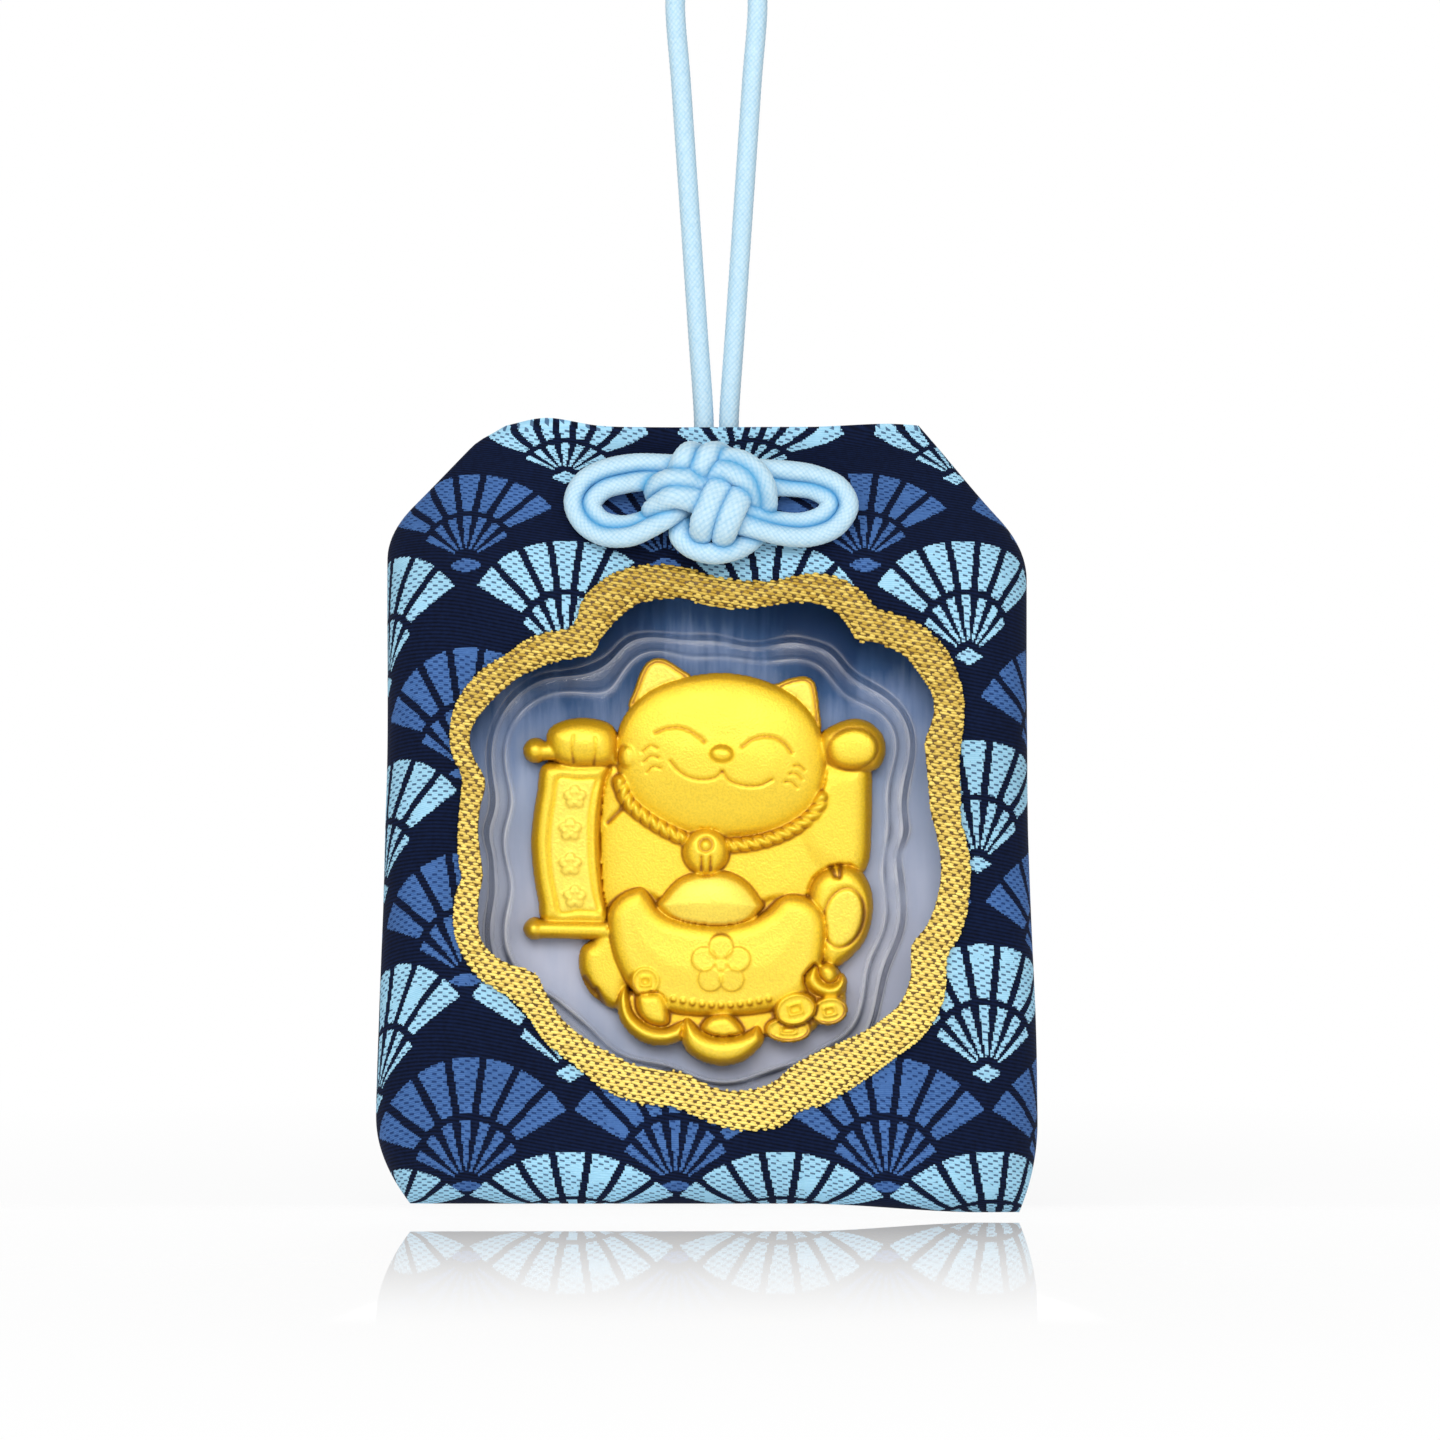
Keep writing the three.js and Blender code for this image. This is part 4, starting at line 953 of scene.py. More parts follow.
front_cloth, front_flat, front_area = pouch_sheet("front_cloth", 0, FRONT, FABRIC, brocade_cloth)
cut(front_cloth, lobed_cutter(WINDOW_HEM))
cut(front_cloth, cord_slit())
back_cloth, back_flat, back_area = pouch_sheet("back_cloth", 0, BACK, FABRIC, brocade_cloth)
lining_grow = -(FABRIC + GAP)
front_satin, satin_flat, satin_area = pouch_sheet("front_satin", lining_grow, FRONT, LINING, satin, 0.4, 70, 80)
cut(front_satin, lobed_cutter(BORDER_WIDTH))
cut(front_satin, cord_slit())
back_satin, _, _ = pouch_sheet("back_satin", lining_grow, BACK, LINING, satin, 0.4, 70, 80)
for sheet, node, slot, flat, area, hole, under in (
        (front_cloth, "front_panel", "brocade", front_flat, front_area, window_area(WINDOW_HEM), "front_satin"),
        (back_cloth, "back_panel", "brocade", back_flat, back_area, 0, "back_satin"),
        (front_satin, "front_lining", "lining", satin_flat, satin_area, window_area(BORDER_WIDTH),
         "clear_blister"),
        (back_satin, "back_lining", "lining", satin_flat, satin_area, 0, "stiffener_board")):
    smooth(sheet, 50)
    belong(sheet, node)


# Gold border


def border_base(material):
    """A padded band round the window, on which the stitches lie."""
    around, section = 320, 20
    piece, column, row = fine_grid("border_padding", around, section)
    angle = full_turn(around)
    inner, outer = border_edges(angle)
    turn = full_turn(section)
    share = 0.5 - 0.5 * np.cos(turn)
    lift = np.where(np.sin(turn) > 0, BORDER_HEIGHT, -0.25) * np.abs(np.sin(turn)) ** 0.5
    far = lerp(inner[column], outer[column], share[row])
    x, z = far * np.cos(angle[column]), far * np.sin(angle[column]) - WINDOW_DROP
    y = front_face(x, z) - lift[row]
    place(piece, in_frame(np.stack([x, y, z], 1)))
    weld(piece)
    finish_with(piece, material)
    smooth(piece)
    paint(piece, "stitch_tone", np.full(len(piece.data.vertices), 0.4))
    return piece


STITCH_PITCH = 0.8
STITCH_ROW = 0.22
STITCH_LEAN = math.radians(-10)
LONG_STITCH, SHORT_STITCH = 0.56, 0.33  # half lengths, as shares of the pitch
STITCH_CLEAR = 0.04
# How the stitches vary: place and lean by these spreads, the rest between two limits
STITCH_JITTER, LEAN_JITTER = 0.02, 0.05
STITCH_WIDE = (1.15, 1.4)  # shares of the row's height
STITCH_HIGH = (0.09, 0.17)
STITCH_TONE = (0.3, 0.95)


def one_stitch():
    """A short flat thread lying over the padding, as half of a drawn-out ball with squared ends."""
    deselect()
    bpy.ops.mesh.primitive_uv_sphere_add(segments=8, ring_count=5, radius=1)
    stitch = bpy.context.object
    with editing(stitch):
        bpy.ops.transform.rotate(value=math.pi / 2, orient_axis="Y", center_override=(0, 0, 0))
        bpy.ops.mesh.bisect(plane_co=(0, 0.2, 0), plane_no=(0, 1, 0), clear_outer=True, use_fill=True)
    for vertex in stitch.data.vertices:
        vertex.co.x = math.copysign(abs(vertex.co.x) ** 0.9, vertex.co.x)
        vertex.co.z = math.copysign(abs(vertex.co.z) ** 0.75, vertex.co.z)
    return stitch


def border_stitches(material):
    """Rows of gold floats, all laid the same way. In every second row they are short, with ground between."""
    pattern = one_stitch()
    shape = np.array([v.co[:] for v in pattern.data.vertices])
    faces = [tuple(p.vertices) for p in pattern.data.polygons]
    bpy.data.objects.remove(pattern)
    along = np.array([math.cos(STITCH_LEAN), math.sin(STITCH_LEAN)])
    up = np.array([-along[1], along[0]])
    i, j = np.meshgrid(np.arange(-38, 39), np.arange(-132, 133))
    spots = (i + 0.5 * (j // 2 % 2))[..., None] * STITCH_PITCH * along + j[..., None] * STITCH_ROW * up
    spots = spots.reshape(-1, 2)
    spots += rng.normal(0, STITCH_JITTER, spots.shape)
    reach_of = np.where(j % 2 == 1, SHORT_STITCH, LONG_STITCH).ravel() * STITCH_PITCH
    ends = np.linspace(-1, 1, 13)[None] * reach_of[:, None]
    laid = spots[:, None] + ends[..., None] * along
    angle = np.arctan2(laid[..., 1], laid[..., 0])
    far = np.hypot(laid[..., 0], laid[..., 1])
    near, wide = (window_reach(angle.ravel(), grow).reshape(far.shape)
                  for grow in (STITCH_CLEAR, BORDER_WIDTH - STITCH_CLEAR))
    inside = (far > near) & (far < wide)
    kept = inside.sum(axis=1) > 3
    spots, inside, ends = spots[kept], inside[kept], ends[kept]
    each = np.arange(len(spots))
    first = ends[each, inside.argmax(axis=1)]
    last = ends[each, ends.shape[1] - 1 - inside[:, ::-1].argmax(axis=1)]
    spots = spots + ((first + last) / 2)[:, None] * along
    number = len(spots)
    lean = STITCH_LEAN + rng.normal(0, LEAN_JITTER, number)
    long = (last - first) / 2
    wide = 0.5 * STITCH_ROW * rng.uniform(*STITCH_WIDE, number)
    high = rng.uniform(*STITCH_HIGH, number)
    angle = np.arctan2(spots[:, 1], spots[:, 0])
    inner, outer = border_edges(angle)
    share = np.clip((np.hypot(spots[:, 0], spots[:, 1]) - inner) / (outer - inner), 0.004, 0.996)
    padded = BORDER_HEIGHT * np.sqrt(2 * np.sqrt(share * (1 - share))) - 0.03
    base = front_face(spots[:, 0], spots[:, 1] - WINDOW_DROP) - padded
    tall = shape[None, :, 1] * high[:, None]
    x = shape[None, :, 0] * long[:, None]
    z = shape[None, :, 2] * wide[:, None]
    px = spots[:, :1] + x * np.cos(lean)[:, None] - z * np.sin(lean)[:, None]
    pz = spots[:, 1:] + x * np.sin(lean)[:, None] + z * np.cos(lean)[:, None] - WINDOW_DROP
    py = base[:, None] + tall
    points = in_frame(np.stack([px, py, pz], 2).reshape(-1, 3))
    size = len(shape)
    all_faces = [tuple(v + k * size for v in face) for k in range(number) for face in faces]
    data = bpy.data.meshes.new("border_stitches")
    data.from_pydata(points * MM, [], all_faces)
    piece = bpy.data.objects.new("border_stitches", data)
    bpy.context.collection.objects.link(piece)
    finish_with(piece, material)
    smooth(piece)
    # Each stitch has a tone of its own, and painted shade makes the stitches darker towards the top.
    paint(piece, "stitch_tone", np.repeat(rng.uniform(*STITCH_TONE, number) - 0.018 * spots[:, 1], size))
    return piece


padding = border_base(gold_thread("border_padding_thread", srgb(70, 50, 12), srgb(118, 88, 26), 0.1))
stitches = border_stitches(gold_thread("bright_gold_thread", srgb(180, 144, 44), srgb(248, 222, 118), 0.3))
for piece in (padding, stitches):
    belong(piece, "window_border")


# Cord and knot


def through(points, spacing):
    """Evenly spaced points on one smooth curve through the given ones."""
    p = np.asarray(points, float)
    p = np.concatenate([[2 * p[0] - p[1]], p, [2 * p[-1] - p[-2]]])
    curve = []
    for a, b, c, d in zip(p, p[1:], p[2:], p[3:]):
        t1 = np.linalg.norm(b - a) ** 0.5
        t2 = t1 + np.linalg.norm(c - b) ** 0.5
        t3 = t2 + np.linalg.norm(d - c) ** 0.5
        for t in np.linspace(t1, t2, 24, endpoint=False):
            ab = a + (b - a) * t / t1
            bc = b + (c - b) * (t - t1) / (t2 - t1)
            cd = c + (d - c) * (t - t2) / (t3 - t2)
            left = ab + (bc - ab) * t / t2
            right = bc + (cd - bc) * (t - t1) / (t3 - t1)
            curve.append(left + (right - left) * (t - t1) / (t2 - t1))
    curve = np.array(curve + [p[-2]])
    arc = np.concatenate([[0], np.cumsum(np.linalg.norm(np.diff(curve, axis=0), axis=1))])
    count = max(2, round(arc[-1] / spacing))
    spots = np.linspace(0, arc[-1], count + 1)
    return np.stack([np.interp(spots, arc, curve[:, k]) for k in range(3)], 1), arc[-1]


BRAID_STRANDS = 12
BRAID_LAY = 0.52
BRAID_RISE = 0.07
CREASE_REACH = 0.85
CREASE_SEARCH = 3.2
OWN_STRETCH = 3  # length of cord that makes no crease with itself
PRESS_WIDE, PRESS_REACH = 0.33, 4.2


def braid_relief(along, turn):
    """Two sets of strands that cross over and under each other, 0 in the hollows and 1 on the crests."""
    first = turn * BRAID_STRANDS + along / BRAID_LAY
    second = turn * BRAID_STRANDS - along / BRAID_LAY
    over = (np.floor(first) + np.floor(second)) % 2 < 0.5
    ridge_first, ridge_second = (np.sin(np.pi * (way % 1)) for way in (first, second))
    return np.where(over, ridge_first * np.sqrt(ridge_second), ridge_second * np.sqrt(ridge_first))


def creases(path, rings, spacing):
    """How near each point of a cord's skin lies to another stretch of the same cord, from 0 to 1, used as
    painted shade in the creases.
    """
    near = np.zeros(rings.shape[:2])
    apart = round(OWN_STRETCH / spacing)
    index = np.arange(len(path))
    for k, ring in enumerate(rings):
        others = path[(np.abs(index - k) > apart) & (np.linalg.norm(path - path[k], axis=1) < CREASE_SEARCH)]
        if len(others):
            clear = np.linalg.norm(ring[:, None] - others[None], axis=2).min(axis=1) - CORD_RADIUS
            near[k] = np.clip(1 - clear / CREASE_REACH, 0, 1) ** 1.4
    return near


def braided(name, route, material, pressed=None, spacing=0.1, sides=54):
    """A braided tube along a route. `pressed` is a place round which the cord is squeezed wide."""
    path, length = through(route, spacing)
    tangent = np.gradient(path, axis=0)
    tangent /= np.linalg.norm(tangent, axis=1)[:, None]
    normal = np.empty_like(path)
    start = np.cross(tangent[0], (0.3, 0.5, 0.8))
    normal[0] = start / np.linalg.norm(start)
    for k in range(1, len(path)):
        lean = normal[k - 1] - tangent[k] * np.dot(normal[k - 1], tangent[k])
        normal[k] = lean / np.linalg.norm(lean)
    side = np.cross(tangent, normal)
    piece, column, row = fine_grid(name, sides, len(path) - 1)
    turn = column / sides
    along = row * length / (len(path) - 1)
    relief = braid_relief(along, turn)
    radius = CORD_RADIUS * (1 - BRAID_RISE * (1 - relief))
    round_cord = 2 * np.pi * turn
    spoke = normal[row] * np.cos(round_cord)[:, None] + side[row] * np.sin(round_cord)[:, None]
    if pressed is not None:
        away = np.hypot(path[:, 0] - pressed[0], path[:, 2] - pressed[2])
        wide = 1 + PRESS_WIDE * np.exp(-(away / PRESS_REACH) ** 4)
        spoke = spoke * np.stack([wide, np.ones(len(path)), wide], 1)[row]
    points = path[row] + spoke * radius[:, None]
    place(piece, points)
    set_uv(piece, along, turn)
    # The braid's relief, also used as painted shade in its hollows and painted highlight on its crests.
    paint(piece, "braid", relief)
    rings = np.empty((len(path), sides + 1, 3))
    rings[row, column] = points
    # Painted shade in the creases, from how near each point lies to another stretch of the cord.
    paint(piece, "crease_shade", creases(path, rings, spacing)[row, column])
    weld(piece, fill=True)
    finish_with(piece, material)
    smooth(piece)
    return piece, path, length


def loop_route():
    """Up from the mouth, round the bight on the hook and down again."""
    bight = CORD_RADIUS - LOOP_BEND
    foot = LIP_Z - CORD_TUCK
    rise = [(lerp(STRAND_SPACING / 2, LOOP_BEND, max(share, 0)), 0, lerp(LIP_Z + SWING_RISE, bight, share))
            for share in (-0.06, 0, 0.2, 0.4, 0.6, 0.8)]
    rise[0] = (STRAND_SPACING / 2, 0, foot)
    turn = [(LOOP_BEND * math.cos(a), 0, bight + LOOP_BEND * math.sin(a)) for a in np.linspace(0, math.pi, 9)]
    return rise + turn + [(-x, y, z) for x, y, z in reversed(rise)]


def tail_route(side):
    x = side * STRAND_SPACING / 2
    cloth = -half_depth_at(SLIT_DROP, pouch_height, 0)
    return [(x, cloth + 0.2, LIP_Z - SLIT_DROP), (x, cloth / 2, LIP_Z - SLIT_DROP - 0.1),
            (x, -0.2, LIP_Z - SLIT_DROP / 2 - 0.2), (x, 0, LIP_Z - 0.9)]


def knot_route():
    """The flower knot, as points right, up the slope and in layers of one cord from the cloth."""
    up_left = [(-2.9, -0.9, 0.1), (-2.75, 0.15, 0.6), (-2.35, 1.1, 1.7), (-1.88, 2.04, 2), (-1.35, 2.6, 1.5)]
    up_right = [(-1.6, -0.9, 0.1), (-1.2, 0.1, 0.7), (-0.75, 0.95, 1.7), (-0.08, 1.96, 2), (0.7, 2.55, 1.5)]
    right_upper = [(-1.3, 1.5, 0.9), (0.5, 1.75, 1), (1.7, 1.85, 1.7), (2.95, 1.55, 2), (4.25, 0.65, 2),
                   (4.95, -0.5, 1.7)]
    right_lower = [(-1.2, 0.65, 0.9), (0.1, 0.6, 1.1), (1.06, 0.75, 1.7), (2.2, 0.7, 2), (3.3, 0.05, 2),
                   (3.95, -0.9, 1.5)]
    down_left = [(1.9, 0.9, 0.9), (1.3, -0.1, 1.5), (0.3, -2.04, 2), (-0.3, -3.5, 1.7), (-0.45, -4.2, 1)]
    down_right = [(3.5, 0.35, 0.9), (3, -0.9, 1.5), (2.2, -2.7, 2), (1.65, -4, 1.7), (1.4, -4.6, 1)]
    left_upper = [(0.9, -0.45, 0.9), (-0.25, -0.25, 1.2), (-1.25, 0, 1.7), (-2.4, 0.05, 2), (-3.5, 0, 1.7)]
    left_lower = [(0.8, -2, 0.9), (-0.57, -1.75, 1.3), (-1.6, -1.5, 1.8), (-2.8, -1.45, 2), (-3.7, -1.75, 1.6)]
    left_ear_outer = [(-3.2, -2.8, 1.1), (-4.8, -3.8, 0.9), (-6.6, -4.45, 0.5), (-8.9, -4.25, 0.1),
                      (-10.7, -3, 0), (-11.4, -1.2, 0), (-10.6, 0.55, 0), (-8.7, 1.55, 0.2), (-6.2, 1.9, 0.6),
                      (-3.9, 1.75, 0.9)]
    left_ear_inner = [(-3.4, 0.2, 0.9), (-5.2, 0.3, 0.8), (-7, 0.25, 0.3), (-8.9, -0.25, 0), (-9.85, -1.5, 0),
                      (-9.1, -2.8, 0), (-7.2, -3.3, 0), (-5.2, -2.95, 0.4), (-3.7, -2.2, 0.7)]
    right_ear_outer = [(2, -2.9, 1), (3.7, -3.7, 1), (6.4, -4.4, 0.6), (8.8, -4.4, 0.3), (11, -3.5, 0.2),
                       (12.1, -1.7, 0.2), (11.3, 0, 0.2), (9.2, 0.95, 0.4), (6.9, 1.2, 0.8), (4.7, 1.25, 0.9),
                       (3.3, 1.2, 0.9)]
    right_ear_inner = [(2.6, -1.7, 0.9), (3.8, -2.6, 0.9), (6.4, -3.1, 0.3), (8.4, -3, 0), (10.1, -2.25, 0),
                       (10.45, -1.2, 0), (9.2, -0.25, 0), (7.2, 0, 0.2), (5.5, -0.05, 0.6), (4.4, 0.25, 0.8)]
    lower_loop = [(5.1, -1.6, 1), (4.9, -2.6, 0), (4.5, -3.7, 0), (3.6, -4.8, 0.2), (2.3, -5.6, 0.5),
                  (0.55, -5.95, 0.6), (-1.3, -5.4, 0.5), (-2.25, -4.4, 0.4), (-2.3, -3.3, 0.2),
                  (-3.1, -2.5, -0.1), (-4.4, -2.6, 0), (-4.75, -2.3, 0.8)]
    left_link = [(-0.9, -4.2, 0.2), (-2, -3.2, 0), (-3.3, -1.9, 0), (-4.3, -1, 0.3), (-4.5, -0.35, 1)]
    right_link = [(1.9, -4.6, 0.2), (2.6, -4.2, 0), (3.4, -3.4, 0), (4.1, -2.5, 0.2), (4.2, -1.8, 0.7)]
    rise = KNOT_DROP - SLIT_DROP

    def through_slit(side):
        x = -POUCH_X + side * STRAND_SPACING / 2
        return [(x, rise + 0.4, 0.5), (x, rise, -0.5)]

    return [
        *reversed(through_slit(1)), *reversed(up_right), *left_ear_outer, *right_upper, *lower_loop,
        *reversed(left_lower), *right_ear_outer, *down_left, *left_link, *reversed(left_upper),
        *right_ear_inner, *down_right, *right_link, *reversed(right_lower), *left_ear_inner, *up_left,
        *through_slit(-1),
    ]


def knot_points():
    top, foot = (half_depth_at(KNOT_DROP * share, pouch_height, 0) for share in (0.5, 1.5))
    lean = -math.atan((foot - top) / KNOT_DROP)
    start = np.array([POUCH_X, -half_depth_at(KNOT_DROP, pouch_height, 0) - GAP / 2, LIP_Z - KNOT_DROP])
    spots = []
    for x, z, layer in knot_route():
        y = -(GAP + CORD_RADIUS + layer * CORD_LAYER)
        turned = (y * math.cos(lean) - z * math.sin(lean), y * math.sin(lean) + z * math.cos(lean))
        spots.append(start + (x, *turned))
    return spots


cord_braid = braided_cord()
hanging_cord, loop_path, loop_length = braided("hanging_cord_loop", loop_route(), cord_braid)
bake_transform(hanging_cord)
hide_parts("hanging_loop")
crown = (POUCH_X + 0.6, 0, LIP_Z - KNOT_DROP - 0.9)
knot, _, _ = braided("flower_knot", knot_points(), cord_braid, crown)
belong(knot, "front_knot")
for side, word in ((-1, "left"), (1, "right")):
    tail, _, _ = braided("cord_end_" + word, tail_route(side), cord_braid)
    belong(tail, "cord_tail_" + word)


# Gold cat

STEP = 0.096  # spacing of the relief's grid


class Relief:
    """A relief that is built up form by form as heights over a fine grid."""

    def __init__(self, low, high):
        self.columns = round((high[0] - low[0]) / STEP)
        self.rows = round((high[1] - low[1]) / STEP)
        xs = low[0] + STEP * np.arange(self.columns + 1)
        zs = low[1] + STEP * np.arange(self.rows + 1)
        self.x, self.z = np.meshgrid(xs, zs)
        self.height = np.zeros_like(self.x)
        self.depth = np.full_like(self.x, -9.0)
        self.crevice_shade = np.zeros_like(self.x)
        self.painted_highlight = np.zeros_like(self.x)

    def inside(self, points):
        """How deep each grid point lies inside a smooth closed outline, negative outside it."""
        ring = smooth_ring(points)
        nearest = np.full(self.x.shape, 1e9)
        within = np.zeros(self.x.shape, bool)
        for (ax, az), (bx, bz) in zip(ring, np.roll(ring, -1, axis=0)):
            ex, ez = bx - ax, bz - az
            px, pz = self.x - ax, self.z - az
            share = np.clip((px * ex + pz * ez) / max(ex * ex + ez * ez, 1e-12), 0, 1)
            nearest = np.minimum(nearest, (px - share * ex) ** 2 + (pz - share * ez) ** 2)
            if az != bz:
                within ^= ((az > self.z) != (bz > self.z)) & (px < ex * pz / ez)
        return np.where(within, 1, -1) * np.sqrt(nearest)

    def turned(self, x, z, lean):
        """The grid's distances from a point along two axes that lean by the given degrees."""
        turn = math.radians(lean)
        dx, dz = self.x - x, self.z - z
        return dx * math.cos(turn) + dz * math.sin(turn), -dx * math.sin(turn) + dz * math.cos(turn)

    def oval(self, x, z, half_width, half_height, lean=0):
        u, v = self.turned(x, z, lean)
        q = np.sqrt((u / half_width) ** 2 + (v / half_height) ** 2)
        g = np.sqrt((u / half_width ** 2) ** 2 + (v / half_height ** 2) ** 2)
        return np.where(q > 1e-6, q * (1 - q) / np.maximum(g, 1e-6), min(half_width, half_height))

    def along(self, points):
        """Distance to an open line, with the nearest point's length along it and the distance across it."""
        line, length = through([(x, 0, z) for x, z in points], 0.12)
        step = np.gradient(line, axis=0)
        step /= np.linalg.norm(step, axis=1)[:, None]
        nearest = np.full(self.x.shape, 1e9)
        where, across = np.zeros(self.x.shape), np.zeros(self.x.shape)
        for k, ((x, _, z), (tx, _, tz)) in enumerate(zip(line, step)):
            dx, dz = self.x - x, self.z - z
            gap = dx * dx + dz * dz
            closer = gap < nearest
            nearest = np.where(closer, gap, nearest)
            where = np.where(closer, k * length / (len(line) - 1), where)
            across = np.where(closer, dz * tx - dx * tz, across)
        return np.sqrt(nearest), where, across

    def add(self, depth, low, high, run, cover=False, soft=0.01):
        """A pillow form that rises from `low` at its edge to `high` over the distance `run`."""
        share = np.clip(depth / run, 0, 1)
        form = low + (high - low) * np.sqrt(1 - (1 - share) ** 2)
        blend = np.clip(1 - np.abs(self.height - form) / soft, 0, 1) ** 2 * soft / 4
        joined = form if cover else np.maximum(self.height, form) + blend
        on_top = (depth > 0) & (joined >= self.height) if not cover else depth > 0
        self.crevice_shade = np.where(on_top, 0, self.crevice_shade)
        self.painted_highlight = np.where(on_top, 0, self.painted_highlight)
        self.height = np.where(depth > 0, joined, self.height)
        self.depth = np.maximum(self.depth, depth)

    def paint_highlight(self, depth, share):
        """A painted highlight, paler than the painted light and shade round it."""
        self.painted_highlight = np.maximum(self.painted_highlight, share * smoothstep(depth, 0, 0.25))

    def shade(self, depth, share, width):
        """Painted shade as a dark line round a form."""
        self.crevice_shade = np.maximum(self.crevice_shade, share * np.exp(-(depth / width) ** 2))

    def dome(self, depth, rise, run):
        """A low round form on top of what is there."""
        share = np.clip(depth / run, 0, 1)
        self.height += rise * np.sqrt(1 - (1 - share) ** 2)

    def emboss(self, depth, rise, run):
        self.height += rise * smoothstep(depth, -run, run)

    def engrave(self, points, deep, width):
        gap, _, _ = self.along(points)
        self.scratch(gap, deep, width)

    def scratch(self, gap, deep, width):
        """A cut line where the given distance is nothing, with painted shade in it."""
        line = np.exp(-(gap / width) ** 2)
        self.height -= deep * line
        self.crevice_shade = np.maximum(self.crevice_shade, line * min(1, deep / 0.2))

    def rope(self, points, radius, base, lay):
        """A twisted rope that lies along an open line, with painted shade between its strands."""
        gap, where, across = self.along(points)
        share = np.clip(gap / radius, 0, 1)
        strand = np.abs(np.cos(np.pi * (where + 0.75 * across) / lay)) ** 0.7
        form = base + radius * np.sqrt(1 - share ** 2) * (0.45 + 0.7 * strand)
        self.crevice_shade = np.where((gap < radius) & (form > self.height), 0.6 * (1 - strand) ** 2, self.crevice_shade)
        self.height = np.where(gap < radius, np.maximum(self.height, form), self.height)
        self.depth = np.maximum(self.depth, radius - gap)


def blossom(relief, x, z, size, rise):
    """Five round petals about a middle, raised a little."""
    for k in range(5):
        a = math.pi / 2 + 2 * math.pi * k / 5
        petal = relief.oval(x + 0.6 * size * math.cos(a), z + 0.6 * size * math.sin(a), 0.4 * size, 0.4 * size)
        relief.emboss(petal, rise, 0.1)
        relief.shade(petal, 0.7, 0.1)
    middle = relief.oval(x, z, 0.2 * size, 0.2 * size)
    relief.emboss(middle, rise, 0.08)
    relief.shade(middle, 0.7, 0.1)


def coin(relief, x, z, half_width, half_height, lean, top):
    """A round coin with a rim and a square hole."""
    disc = relief.oval(x, z, half_width, half_height, lean)
    relief.add(disc, top - 0.5, top, 0.25, cover=True)
    relief.height = np.where(disc > 0.25, relief.height - 0.16 * smoothstep(disc, 0.25, 0.42), relief.height)
    u, v = relief.turned(x, z, lean)
    square = np.minimum(0.34 * half_width - np.abs(u), 0.34 * half_height - np.abs(v))
    relief.emboss(square, 0.16, 0.05)
    relief.shade(square, 0.7, 0.12)
    relief.shade(disc - 0.34, 0.5, 0.1)
    relief.height -= 0.3 * smoothstep(square - 0.16, -0.04, 0.04)


def small_ingot(relief, boat, dome, top):
    """A boat-shaped ingot with a round top behind its wall."""
    relief.add(relief.inside(dome), top - 0.7, top + 0.1, 0.9, cover=True)
    relief.add(relief.inside(boat), top - 1.3, top, 1.3, cover=True)


